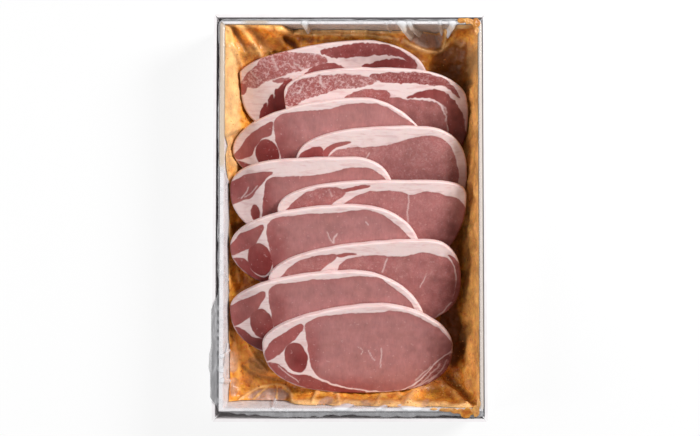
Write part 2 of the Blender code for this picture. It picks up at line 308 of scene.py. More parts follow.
class PasteLooks(bpy.types.PropertyGroup):
    """Colours and surface of the marinade paste."""

    thick: bpy.props.FloatVectorProperty(
        name="Thick paste", description="Where it lies deep", subtype="COLOR", default=linear("#D98834")
    )
    golden: bpy.props.FloatVectorProperty(
        name="Golden paste", description="Its lighter streaks", subtype="COLOR", default=linear("#EAA744")
    )
    rust: bpy.props.FloatVectorProperty(
        name="Rusty paste", description="Its redder streaks", subtype="COLOR", default=linear("#B65B19")
    )
    # the colour of painted shade in the paste, and of its deep wet hollows
    deep: bpy.props.FloatVectorProperty(
        name="Deep paste", description="Wet hollows", subtype="COLOR", default=linear("#723B0B")
    )
    # paler paste where it is thin over the board, also used as painted light on lit walls and crests
    thin_and_lit: bpy.props.FloatVectorProperty(
        name="Thin paste", description="Where the board shines through", subtype="COLOR", default=linear("#EDBB7E")
    )
    bare: bpy.props.FloatVectorProperty(
        name="Bare film", description="Where only a trace is left", subtype="COLOR", default=linear("#B8917F")
    )
    husk: bpy.props.FloatVectorProperty(
        name="Husk", description="The darkest grains", subtype="COLOR", default=linear("#9A5A22")
    )
    cell: bpy.props.FloatProperty(
        name="Cell", description="Size of the bed's faces in millimetres", default=1.0, min=0.8, max=5.0
    )
    relief: bpy.props.FloatProperty(
        name="Lumps", description="Height of the paste's lumps in millimetres", default=1.35, min=0.0, max=3.0
    )
    grain: bpy.props.FloatProperty(
        name="Grain", description="Size of a grain in millimetres", default=1.6, min=0.5, max=4.0
    )
    grain_density: bpy.props.FloatProperty(
        name="Grains", description="Grains in a square centimetre", default=8.0, min=0.0, max=20.0
    )


class FilmLooks(bpy.types.PropertyGroup):
    """Colours and surface of the clear film."""

    tint: bpy.props.FloatVectorProperty(
        name="Tint", description="Colour of the film", subtype="COLOR", default=linear("#E9E9EC")
    )
    # painted grey: the shade and reflections in the film's loose folds
    grey: bpy.props.FloatVectorProperty(
        name="Folds", description="Loose folds", subtype="COLOR", default=linear("#9A989A")
    )
    # painted shade in the film's deepest folds
    shade: bpy.props.FloatVectorProperty(
        name="Deep folds", description="The darkest folds", subtype="COLOR", default=linear("#6E6C6E")
    )
    residue: bpy.props.FloatVectorProperty(
        name="Traces of paste", description="Film that paste has wetted", subtype="COLOR", default=linear("#E3C6A0")
    )
    crumple: bpy.props.FloatProperty(
        name="Crumple", description="Height of the creases in millimetres", default=0.45, min=0.0, max=1.0
    )


class CartonLooks(bpy.types.PropertyGroup):
    """Colours of the board."""

    board: bpy.props.FloatVectorProperty(
        name="Board", description="Coated face", subtype="COLOR", default=linear("#EFEBEC")
    )


class StageLooks(bpy.types.PropertyGroup):
    """Floor, light and camera."""

    floor: bpy.props.FloatVectorProperty(
        name="Floor", description="Colour of the floor", subtype="COLOR", default=linear("#FAFAFA")
    )
    side_power: bpy.props.FloatProperty(
        name="Side light", description="Power in watts", default=12.0, min=0.0, max=500.0
    )
    key_power: bpy.props.FloatProperty(
        name="Key light", description="Power in watts", default=23.0, min=0.0, max=500.0
    )
    fill: bpy.props.FloatProperty(
        name="Fill light", description="Strength of the even light", default=0.30, min=0.0, max=5.0
    )
    camera_height: bpy.props.FloatProperty(
        name="Camera distance", description="From the tray's middle", unit="LENGTH", default=0.8
    )
    camera_elevation: bpy.props.FloatProperty(
        name="Camera elevation",
        description="Above the horizon",
        subtype="ANGLE",
        default=math.radians(87.8),
    )


# ---------------------------------------------------------------- the slices' shape


class Slice(NamedTuple):
    """One slice seen square on: its four furthest points, across and up from its toe line.

    squareness gives the exponent of the rounded corner between each two of them, from 1, a straight
    chamfer, through 2, an ellipse, to a nearly square corner: back left, back right, front right, front left.
    """

    left: tuple
    back: tuple
    right: tuple
    front: tuple
    squareness: tuple


SLICES = (
    Slice((-89.5, 55.0), (11.0, 80.0), (61.0, 52.0), (-1.0, 2.0), (1.55, 1.85, 2.2, 3.6)),
    Slice((-53.5, 60.0), (19.0, 81.0), (95.0, 46.0), (19.0, 3.0), (2.4, 2.7, 3.6, 2.2)),
    Slice((-95.5, 40.0), (11.0, 79.8), (62.0, 38.0), (-6.0, 2.0), (1.9, 1.7, 2.0, 2.2)),
    Slice((-44.0, 50.0), (49.0, 80.5), (94.0, 42.0), (29.0, 2.0), (2.6, 2.5, 2.4, 2.2)),
    Slice((-97.0, 50.0), (-1.0, 79.0), (35.0, 46.0), (-26.0, 4.0), (3.1, 2.3, 2.0, 2.0)),
    Slice((-58.5, 58.0), (29.0, 83.7), (92.3, 66.0), (19.0, 4.0), (2.4, 5.0, 2.1, 2.2)),
    Slice((-97.0, 53.0), (3.0, 88.0), (56.0, 48.0), (-1.0, 10.0), (2.1, 2.0, 2.0, 2.1)),
    Slice((-66.0, 50.0), (57.0, 83.3), (88.5, 50.0), (19.0, 8.0), (2.05, 2.4, 2.4, 2.1)),
    Slice((-97.0, 50.0), (3.0, 82.0), (59.0, 40.0), (-6.0, 3.0), (1.95, 1.8, 2.0, 2.4)),
    Slice((-70.5, 46.0), (24.0, 78.8), (81.6, 44.0), (4.0, 2.3), (1.75, 1.75, 2.8, 2.5)),
)


def toe_of(index):
    return FIRST_TOE - index * SLICE_PITCH


def bend(x, y):
    """The soft waves that run through the whole stack alike."""
    return 1.1 * np.sin(x / 38.0 + y / 60.0) + 0.7 * np.sin(y / 33.0 - x / 55.0)


def sag(x, up):
    """How far a slice's free end droops, this far up from its toe line."""
    left = smooth_step((SAG_LEFT_FROM - x) / SAG_LENGTH)
    right = smooth_step((x - SAG_RIGHT_FROM) / SAG_LENGTH)
    return END_SAG * np.maximum(left, right) * smooth_step((up - 10.0) / 45.0)


def middle_height(index, x, y):
    """Height of a slice's middle surface above this place."""
    rise = (y - toe_of(index)) * math.tan(TILT)
    half = SLICE_THICKNESS / 2 / math.cos(TILT)
    up = (y - toe_of(index)) / math.cos(TILT)
    return TOE_HEIGHT + half + rise + bend(x, y) - sag(x, up)


def slice_outline(shape, per_corner):
    """Points round a slice in its own plane: four rounded corners between its four furthest points."""
    furthest = (shape.left, shape.back, shape.right, shape.front)
    angle = np.linspace(0.0, math.pi / 2, per_corner, endpoint=False)
    corners = []
    for k in range(4):
        start, end = furthest[k], furthest[(k + 1) % 4]
        centre = (end[0], start[1]) if k % 2 == 0 else (start[0], end[1])
        from_start = np.cos(angle) ** (2.0 / shape.squareness[k])
        from_end = np.sin(angle) ** (2.0 / shape.squareness[k])
        x = centre[0] + (start[0] - centre[0]) * from_start + (end[0] - centre[0]) * from_end
        y = centre[1] + (start[1] - centre[1]) * from_start + (end[1] - centre[1]) * from_end
        corners.append(np.stack((x, y), 1))
    return np.vstack(corners)


def middle_of(shape):
    return (shape.left[0] + shape.right[0]) / 2, (shape.back[1] + shape.front[1]) / 2


def slice_points(index, across, up, height):
    """Points of a slice in the tray's frame; height is up from its middle surface, square to it."""
    y = toe_of(index) + up * math.cos(TILT)
    lifted = middle_height(index, across, y) + height * math.cos(TILT)
    return np.stack((across, y - height * math.sin(TILT), lifted), -1)


# ---------------------------------------------------------------- the slices' muscles


class Stain(NamedTuple):
    """A soft oval seen from above: its middle, half sizes, turn in degrees and strength."""

    middle: tuple
    half: tuple
    turn: float = 0.0
    strength: float = 1.0


def stained(stains, x, y, softness=0.35):
    """How strongly any of the ovals covers each place, from 0 to 1, its edge this soft a share of its size."""
    most = np.zeros(x.shape)
    for stain in stains:
        turn = math.radians(stain.turn)
        across, up = x - stain.middle[0], y - stain.middle[1]
        along = across * math.cos(turn) + up * math.sin(turn)
        aside = up * math.cos(turn) - across * math.sin(turn)
        reach = np.hypot(along / stain.half[0], aside / stain.half[1])
        edge = 0.12 * lumps(x, y, 3.4, 31) + 0.12 * lumps(x, y, 7.0, 32)
        most = np.maximum(most, stain.strength * smooth_step((1.15 + edge - reach) / softness))
    return most


class Muscle(NamedTuple):
    """One muscle as cut: its outline in the slice's plane, how red it is, and how marbled, both from 0 to 1."""

    outline: tuple
    tone: float
    marbling: float = 0.15


class Streak(NamedTuple):
    """A pale line of tissue: its points in the slice's plane and its width."""

    points: tuple
    width: float = 1.0


def oval(middle, half_width, half_height, lean=14.0):
    """The round muscle at a slice's left end, leaning over at its top by some degrees."""
    turn = math.radians(lean)
    angles = [math.pi / 5 * k for k in range(10)]
    flat = [(half_width * math.cos(a), half_height * math.sin(a)) for a in angles]
    return tuple(
        (
            middle[0] + x * math.cos(turn) - y * math.sin(turn),
            middle[1] + x * math.sin(turn) + y * math.cos(turn),
        )
        for x, y in flat
    )


MUSCLES = (
    (
        Muscle(
            ((-88, 47), (-84, 53), (-76, 60), (-68, 66.5), (-55, 69.8), (-38, 69.8), (-26, 68), (-19, 63.5),
             (-24, 60.5), (-36, 57.5), (-54, 52.5), (-67, 47.5), (-76, 42.5), (-83, 43.5)), 0.5, 1.0),
        Muscle(
            ((-24, 70.5), (-15, 74), (0, 76.5), (16, 77.6), (29, 76), (38, 72.5), (46, 68), (52, 60.5), (50, 56),
             (43, 65), (35, 68), (20, 68.4), (5, 67), (-8, 65.8), (-17, 67)), 0.88, 0.3),
        Muscle(((-37, 52), (-27, 60), (-18, 61.3), (-8, 59.5), (-6, 56), (-20, 50), (-30, 47)), 0.85, 0.3),
        Muscle(((9, 59.5), (19, 62), (32, 65.3), (42, 64), (50, 57), (55, 48), (30, 50), (14, 56)), 0.95, 0.1),
        Muscle(
            ((-74, 17), (-71.5, 25), (-69, 29), (-67.5, 26), (-66, 33), (-63, 37), (-61.5, 33), (-60, 40), (-56, 44),
             (-52, 48), (-47, 47), (-46, 30), (-52, 16), (-64, 10)), 0.98, 0.1),
        Muscle(((-90, 44.5), (-86, 46), (-83.5, 43), (-84.5, 38.5), (-88.5, 37)), 0.5, 0.3),
        Muscle(((-62, 47.5), (-57, 49.5), (-50, 50), (-56, 46.5)), 0.15, 0.3),
    ),
    (
        Muscle(
            ((-53, 52), (-51.5, 59.7), (-48, 66.2), (-41, 71.2), (-31, 73.6), (-20, 74.9), (-7, 75.5), (6, 74.9),
             (15, 72.8), (19.5, 69.5), (9, 66.4), (-4, 64.8), (-15, 63), (-26, 59.6), (-36, 56.5), (-46, 50)),
            0.54, 1.0),
        Muscle(
            ((16, 75), (28, 76.8), (50, 76.9), (63, 75.6), (74, 72), (82, 66), (87, 58), (84, 60), (77, 65.5),
             (69, 67.3), (50, 68.8), (37, 69), (25, 70), (18, 72.5)), 0.92, 0.6),
        Muscle(((-4, 56), (3, 61.5), (14, 63.7), (25, 63), (31, 59.8), (27, 54), (10, 52)), 0.55, 0.5),
        Muscle(
            ((45, 57.5), (56, 61.8), (64, 63.7), (73, 62.5), (80, 58), (86, 50), (91, 40), (93, 20), (86, 8), (80, 20),
             (79, 34), (76, 46), (70, 54.5), (60, 57.5)), 0.9, 0.12),
        Muscle(
            ((28, 55), (34, 57), (46, 55.5), (60, 54.5), (69, 52.5), (74.5, 44), (77.5, 32), (77, 14), (60, 6),
             (20, 6), (10, 30), (18, 46)), 0.28, 0.4),
    ),
    (
        Muscle(
            ((-61, 58), (-59, 64), (-51, 68), (-36, 69.4), (-21, 70.2), (-7.4, 73.6), (7, 75.6), (23, 74.5),
             (36, 67.6), (49, 59), (59, 44), (50, 20), (10, 10), (-30, 14), (-52, 24), (-56.5, 36), (-60, 47)), 0.1),
        Muscle(
            ((-94, 33), (-87.5, 42.3), (-82, 49.7), (-75, 54.5), (-68, 59), (-62.8, 61), (-62.8, 56), (-63.6, 51),
             (-67, 49.2), (-72, 47.2), (-77.5, 40.5), (-80.5, 34.5), (-88, 31)), 0.45),
        Muscle(oval((-67, 34.7), 9.0, 12.2), 0.8),
        Muscle(((-93, 28.5), (-83, 26.5), (-75, 23.5), (-61, 18), (-61, 5), (-86, 10)), 0.75),
    ),
    (
        Muscle(
            ((-13, 59.6), (-6, 62.6), (0, 63.3), (13, 63.6), (29, 65.6), (41, 68.6), (52.5, 72), (60, 73.1),
             (67, 72.8), (73, 70.6), (78, 66), (82, 58.6), (85, 49), (86.5, 38), (83, 20), (60, 8), (0, 8), (-20, 30),
             (-18.5, 52)), 0.25, 0.5),
        Muscle(((-43, 48), (-41, 57), (-36, 61), (-29, 63.8), (-23, 63), (-22, 57), (-21, 48), (-32, 42)), 0.8),
        Muscle(((-21, 57), (-21, 62), (-15, 66), (-7, 68), (0, 67.8), (-6, 65.8), (-13, 63), (-17, 59), (-19, 54)), 0.6),
    ),
    (
        Muscle(
            ((-68, 57.5), (-66, 60.8), (-60, 63.6), (-47, 63.2), (-31, 64.2), (-17.5, 66.3), (-4, 70), (5, 70.8),
             (14, 70), (21, 66.8), (29, 59), (33, 48), (20, 20), (-20, 10), (-55, 14), (-70, 28), (-69.5, 45)), 0.15),
        Muscle(
            ((-99, 56), (-90.5, 61.7), (-83, 65.2), (-76, 66.3), (-70, 67.2), (-62, 67.3), (-67, 63.6), (-71, 58.5),
             (-75.5, 53), (-80, 46.5), (-86, 45), (-92, 42.5), (-99, 40)), 0.36),
        Muscle(oval((-76.8, 33.4), 3.2, 6.8, 4.0), 0.85),
    ),
    (
        Muscle(
            ((-6, 64), (1, 69.6), (6.5, 72.4), (13, 74.2), (19, 75.3), (36, 75.5), (43, 74.2), (46, 72.6), (50, 72.2),
             (56, 74.2), (63, 74.7), (69, 74.2), (75, 71.8), (85, 69.5), (92, 60), (93, 45), (85, 20), (60, 8),
             (10, 8), (-12, 30), (-12, 52)), 0.25, 0.4),
        Muscle(
            ((-53, 57), (-50.5, 60.5), (-46.5, 65.4), (-40, 71), (-32.7, 75.3), (-23, 78), (-14.6, 78.6), (-8.3, 77.5),
             (-5, 74.4), (-8.3, 70.2), (-14.6, 66), (-20, 60), (-35, 54)), 0.36, 0.5),
        Muscle(((-6, 76.8), (1, 79), (9, 80), (15, 79.8), (12, 78.2), (5, 77), (-1, 75.6), (-4, 75)), 0.5),
    ),
    (
        Muscle(
            ((-66, 69.5), (-64, 75), (-56, 77.8), (-36, 80.6), (-11, 81.6), (3, 84), (16, 83.2), (27, 79), (38, 69.8),
             (48, 58.5), (53, 46), (40, 22), (0, 14), (-40, 18), (-59, 28), (-62.5, 40), (-64.5, 52), (-66, 62)), 0.1),
        Muscle(
            ((-98, 52), (-91.5, 60), (-87.5, 64.7), (-82, 66.6), (-77, 68.6), (-71, 71.4), (-69.5, 71), (-70, 67),
             (-75.5, 57.5), (-81, 52.8), (-89, 49.5), (-98, 46)), 0.45),
        Muscle(oval((-72.8, 43.3), 9.2, 13.6), 0.78),
        Muscle(
            ((-97, 42), (-88, 44.5), (-83, 41.5), (-80, 35), (-76, 30), (-70, 27.6), (-64, 28), (-61, 14), (-76, 12),
             (-91, 22), (-98, 34)), 0.6),
    ),
    (
        Muscle(
            ((-13, 52), (-10, 59), (-8.5, 63.5), (-4.4, 67), (3.2, 69.3), (11, 70.6), (26, 70.4), (41, 69.8),
             (47.4, 71.3), (56, 72.9), (62.5, 72.7), (69, 70.6), (75, 68.6), (80, 64), (82.6, 55), (82.6, 42),
             (76, 26), (60, 14), (20, 8), (-5, 20), (-14, 40)), 0.3, 0.4),
        Muscle(
            ((-57, 50), (-51, 57.8), (-44.5, 63.5), (-38, 67.6), (-28.3, 70), (-19.5, 71), (-12.5, 71.4), (-12, 69),
             (-17, 64.7), (-22, 60.4), (-28, 56), (-39, 50)), 0.36, 0.4),
        Muscle(((-11, 71), (-5, 72.6), (1, 73), (4, 72.4), (-2, 71.2), (-8, 69.6)), 0.5),
        Muscle(
            ((77, 71), (84, 66.5), (90, 56), (91, 42), (84, 26), (68, 12), (60, 9), (72, 20), (79.5, 31), (84, 42),
             (84.5, 55), (82, 64)), 0.6, 0.4),
    ),
    (
        Muscle(
            ((-65, 63.5), (-62.5, 68.6), (-55, 71.5), (-41, 73.2), (-31, 74.9), (-11, 76), (3, 77.8), (13, 77.5),
             (22, 76.3), (32, 69.9), (42, 61.4), (49, 53), (51, 40), (40, 20), (0, 10), (-40, 14), (-57, 24),
             (-61, 34), (-63, 46)), 0.12),
        Muscle(
            ((-98, 50.5), (-92, 54.3), (-86.5, 57.8), (-80.5, 60), (-75, 62.4), (-69, 65), (-68, 62), (-72.5, 54),
             (-76.5, 48.5), (-82, 43), (-88, 38.5), (-95, 35.5), (-98, 38)), 0.45),
        Muscle(oval((-71.3, 38.0), 8.7, 12.6), 0.78),
        Muscle(
            ((-93, 34), (-85, 31.5), (-80, 27), (-76, 25.5), (-69, 24), (-63, 20), (-61, 10), (-76, 6), (-91, 18)), 0.8),
    ),
    (
        Muscle(
            ((-35.8, 61.5), (-34.6, 50), (-33.3, 38), (-31, 26), (-26.5, 18), (-20, 14), (-8, 9.8), (4, 7), (24, 4.6),
             (40, 6.2), (49, 11), (59, 19), (66, 28.5), (72, 34), (79, 39.5), (80, 46), (75, 53), (66, 61),
             (56, 67), (44, 72), (34, 73.6), (20, 72.3), (6, 71.6), (-8, 70.8), (-20, 69.2), (-29, 67)), 0.08, 0.12),
        Muscle(
            ((-69, 35), (-65, 45), (-58.5, 51), (-50, 56.5), (-42.5, 61.5), (-38.6, 62.5), (-38.6, 57), (-44.5, 50.5),
             (-51, 44.5), (-56, 38), (-62, 33.5), (-68.5, 31.5)), 0.45),
        Muscle(oval((-43.7, 34), 8.7, 12.9), 0.85),
        Muscle(
            ((-68, 29), (-60, 28.5), (-54, 25), (-50, 20.5), (-44, 18.6), (-38, 18.6), (-31, 16.5), (-22, 12),
             (-12, 8.2), (-2, 6), (6, 4.6), (12, 3), (0, 0), (-25, 0), (-50, 8), (-66, 20)), 0.65),
        Muscle(
            ((44, 5.2), (52, 10.2), (61, 18.6), (68, 27.6), (74, 33), (81, 37), (84, 30), (76, 12), (62, 1),
             (46, 1)), 0.75, 0.6),
    ),
)

STREAKS = (
    (
        Streak(((-63, 68), (-61, 62), (-59, 57)), 1.0),
        Streak(((-45, 62), (-41, 59), (-37, 57)), 0.8),
        Streak(((-80, 55), (-75, 50)), 0.7),
    ),
    (
        Streak(((-24, 74), (-24, 69), (-20, 64)), 1.0),
        Streak(((-47, 60), (-41, 62), (-38, 67)), 0.8),
        Streak(((70, 53), (75, 49), (77, 44), (76, 38)), 0.9),
    ),
    (),
    (
        Streak(((18, 52), (22, 47), (26, 44)), 0.8),
        Streak(((12, 55), (15, 59)), 0.8),
    ),
    (
        Streak(((-88, 46), (-84, 50), (-82, 55)), 0.9),
        Streak(((-85, 47), (-79, 51), (-75, 56)), 0.7),
    ),
    (
        Streak(((45.5, 73), (46, 66), (45, 58), (46, 50)), 0.8),
        Streak(((-17, 77), (-15, 71)), 0.6),
    ),
    (
        Streak(((-19, 66), (-16, 60), (-14, 57)), 0.7),
        Streak(((-11, 65), (-13, 61), (-13, 57)), 0.9),
        Streak(((12, 75), (14, 72)), 0.6),
        Streak(((-95, 37), (-88, 30), (-80, 22), (-70, 18), (-60, 18)), 0.9),
    ),
    (
        Streak(((29, 69), (27, 63), (25, 57)), 0.8),
        Streak(((55, 44), (58, 50), (60, 56)), 0.5),
        Streak(((68, 18), (74, 24), (80, 32)), 0.8),
    ),
    (),
    (
        Streak(((24, 42), (25, 36), (24, 29), (24, 25)), 0.8),
        Streak(((14, 40), (17, 34), (19, 31)), 0.5),
        Streak(((6, 43), (10, 40), (8, 36)), 0.4),
        Streak(((52, 14), (58, 20), (64, 26)), 1.0),
        Streak(((46, 6), (54, 9.5), (60, 15), (66, 21), (71, 28)), 0.9),
        Streak(((52, 4.5), (60, 8), (66, 13)), 1.0),
        Streak(((62, 12), (69, 19), (74, 26), (77, 32)), 0.8),
        Streak(((55, 9), (62, 14), (68, 18)), 1.2),
        Streak(((-58, 27), (-50, 19), (-42, 13)), 0.7),
    ),
)


# Painted shade on each slice, with some browner meat: darker at its right end mostly, where the right wall's shadow
# falls, and at a few lower left ends
SHADES = (
    (Stain((60, 52), (26, 18), -30, 0.5), Stain((26, 66), (50, 16), 0, 0.6)),
    (Stain((94, 30), (19, 48), 8, 1.0), Stain((50, 34), (60, 24), 0, 0.55)),
    (Stain((-78, 22), (18, 14), 0, 0.3),),
    (Stain((92, 36), (22, 44), 8, 0.8), Stain((50, 44), (60, 34), 0, 0.4)),
    (),
    (Stain((92, 36), (30, 44), 16, 1.0),),
    (Stain((-76, 20), (22, 12), 0, 0.5),),
    (Stain((92, 34), (34, 50), 14, 1.0),),
    (Stain((-82, 20), (24, 13), 0, 0.6),),
    (Stain((88, 32), (38, 56), 10, 1.0),),
)

# Where the meat of each slice is redder: beside the seam on its left mostly
FLUSHES = (
    (Stain((24, 60), (60, 14), 0, 0.6), Stain((-62, 30), (20, 24), 0, 0.8)),
    (Stain((60, 60), (40, 16), 0, 0.5),),
    (Stain((-58, 32), (20, 44), -8, 1.0), Stain((-74, 32), (16, 20), 0, 0.8)),
    (Stain((-34, 52), (20, 16), 0, 0.6),),
    (Stain((-69, 44), (14, 30), 0, 0.9), Stain((-92, 56), (16, 16), 0, 0.7)),
    (Stain((-44, 60), (20, 16), 0, 0.5),),
    (Stain((-62, 40), (16, 50), -6, 1.0), Stain((-76, 30), (24, 20), 0, 0.8)),
    (),
    (Stain((-60, 38), (15, 46), -6, 0.9), Stain((-80, 30), (24, 18), 0, 0.8)),
    (Stain((-34, 30), (13, 46), -8, 0.8), Stain((-44, 34), (12, 16), 0, 0.7), Stain((-10, 8), (60, 12), 0, 0.7)),
)


# ---------------------------------------------------------------- making the slices


def disc_grid(columns, rows):
    """A square net of points laid over a unit disc, as rows of x and y."""
    u = np.linspace(-1.0, 1.0, columns + 1)[None, :]
    v = np.linspace(-1.0, 1.0, rows + 1)[:, None]
    return u * np.sqrt(1 - v * v / 2), v * np.sqrt(1 - u * u / 2)


def rim_order(columns, rows):
    """Numbers of a net's points round its edge, anticlockwise."""
    number = np.arange((columns + 1) * (rows + 1)).reshape(rows + 1, columns + 1)
    sides = (number[0, :-1], number[:-1, -1], number[-1, :0:-1], number[:0:-1, 0])
    return np.concatenate(sides)


# This many slices at the back have muscles with ragged, toothed edges
RAGGED_SLICES = 2


class Plan:
    """A slice's outline as the distance from its middle in any direction."""

    def __init__(self, index, shape):
        self.middle = np.array(middle_of(shape))
        outline = slice_outline(shape, 240)
        ragged = 0.35 * lumps(outline[:, 0], outline[:, 1], 9.0, index) - 0.3
        self.half = np.array(
            ((shape.right[0] - shape.left[0]) / 2, (shape.back[1] - shape.front[1]) / 2)
        )
        away = outline - self.middle
        length = np.hypot(away[:, 0], away[:, 1])
        away = away * (1 + ragged / length)[:, None]
        scaled = away / self.half
        angle = np.arctan2(scaled[:, 1], scaled[:, 0])
        order = np.argsort(angle)
        self.angle, self.away = angle[order], away[order]

    def edge(self, angle):
        """The outline's point in a direction, from the middle."""
        x = np.interp(angle, self.angle, self.away[:, 0], period=2 * math.pi)
        y = np.interp(angle, self.angle, self.away[:, 1], period=2 * math.pi)
        return np.stack((x, y), -1)

    def places(self, x, y, inset=0.0):
        """Places in the slice's plane for points of a unit disc, kept this far from the outline."""
        edge = self.edge(np.arctan2(y, x))
        length = np.hypot(edge[..., 0], edge[..., 1])
        share = np.hypot(x, y) * (1 - inset / length)
        return self.middle + edge * share[..., None]


def muscle_fields(index, across, up):
    """For each place: depth inside the nearest muscle, its tone, its marbling, and pale streaks."""
    teeth = 0.7 if index < RAGGED_SLICES else 0.25
    x = across + 0.5 * lumps(across, up, 5.0, index + 20) + teeth * lumps(across, up, 1.9, index + 40)
    y = up + 0.5 * lumps(across, up, 5.0, index + 60) + teeth * lumps(across, up, 1.9, index + 80)
    depth = np.full(x.shape, -9.0)
    tone = np.zeros(x.shape)
    marbling = np.zeros(x.shape)
    for muscle in MUSCLES[index]:
        here = depth_in(rounded(muscle.outline), x, y)
        nearer = here > depth
        depth = np.where(nearer, here, depth)
        tone = np.where(nearer, muscle.tone, tone)
        marbling = np.where(nearer, muscle.marbling, marbling)
    streak = np.zeros(x.shape)
    for line in STREAKS[index]:
        away = distance_to(rounded(line.points, closed=False), x, y, closed=False)
        streak = np.maximum(streak, smooth_step(1.3 - away / (0.75 * line.width)))
    to_edge = depth_in(slice_outline(SLICES[index], 8), across, up)
    skin = smooth_step(1.9 - to_edge / 0.85) * smooth_step(1.1 + 1.3 * lumps(across, up, 7.0, index + 90))
    middle = middle_of(SLICES[index])
    lower_left = smooth_step((middle[0] - 10.0 - across) / 14.0) * smooth_step((middle[1] - up) / 8.0)
    streak = np.maximum(streak, 0.9 * skin * lower_left)
    # painted shade, mostly at the right ends where the wall's shadow falls
    shade = stained(SHADES[index], across, up, 1.15)
    flush = stained(FLUSHES[index], across, up, 1.15)
    return np.clip(depth + 0.45, -6.0, 15.0), tone, marbling, streak, shade, flush


def make_slice(index, looks):
    """One slice: a fine net over its face, a rounded edge, and a plain underside."""
    columns = looks.cells_across
    rows = columns // 2
    plan = Plan(index, SLICES[index])
    half = SLICE_THICKNESS / 2
    radius = looks.edge_round
    x, y = disc_grid(columns, rows)
    face = plan.places(x.ravel(), y.ravel(), inset=radius)
    rim = rim_order(columns, rows)
    turn = np.arctan2(y.ravel()[rim], x.ravel()[rim])
    edge_x, edge_y = np.cos(turn), np.sin(turn)
    flats = [face]
    heights = [np.full(len(face), half)]
    rounds = [math.radians(a) for a in (18, 36, 54, 72, 90)]
    for angle in rounds:
        flats.append(plan.places(edge_x, edge_y, inset=radius * (1 - math.sin(angle))))
        heights.append(np.full(len(rim), half - radius * (1 - math.cos(angle))))
    for angle in (90, 60, 30, 0):
        angle = math.radians(angle)
        flats.append(plan.places(edge_x, edge_y, inset=radius * (1 - math.sin(angle))))
        heights.append(np.full(len(rim), -half + radius * (1 - math.cos(angle))))
    for share in (0.75, 0.5, 0.25):
        flats.append(plan.places(edge_x * share, edge_y * share))
        heights.append(np.full(len(rim), -half))
    flat = np.vstack(flats)
    height = np.concatenate(heights)
    depth, tone, marbling, streak, shade, flush = muscle_fields(index, flat[:, 0], flat[:, 1])
    upper = smooth_step((height + half) / SLICE_THICKNESS * 3 - 2)
    relief = -0.22 * smooth_step(depth / 1.2 + 0.5) + 0.12 * lumps(flat[:, 0], flat[:, 1], 6.0, index + 3)
    relief += 0.06 * lumps(flat[:, 0], flat[:, 1], 2.1, index + 5) - 0.1
    points = slice_points(index, flat[:, 0], flat[:, 1], height + relief * upper)
    count = len(face)
    faces = grid_faces(rows + 1, columns + 1).tolist()
    rings = [rim] + [np.arange(len(rim)) + count + k * len(rim) for k in range(len(flats) - 1)]
    for inner, outer in zip(rings, rings[1:]):
        pairs = np.stack((inner, np.roll(inner, -1), np.roll(outer, -1), outer), 1)
        faces += pairs.tolist()
    faces.append(rings[-1].tolist())
    obj = piece_from(f"pork_{index + 1:02d}", points, faces)
    point_out(obj)
    paint(obj, "depth", depth)
    paint(obj, "tone", tone)
    paint(obj, "marbling", marbling)
    paint(obj, "streak", streak)
    paint(obj, "shade", shade)
    paint(obj, "flush", flush)
    obj.data.materials.append(bpy.data.materials["raw pork loin"])
    settle(obj, "pork", f"pork_slice_{index + 1:02d}")
    return obj


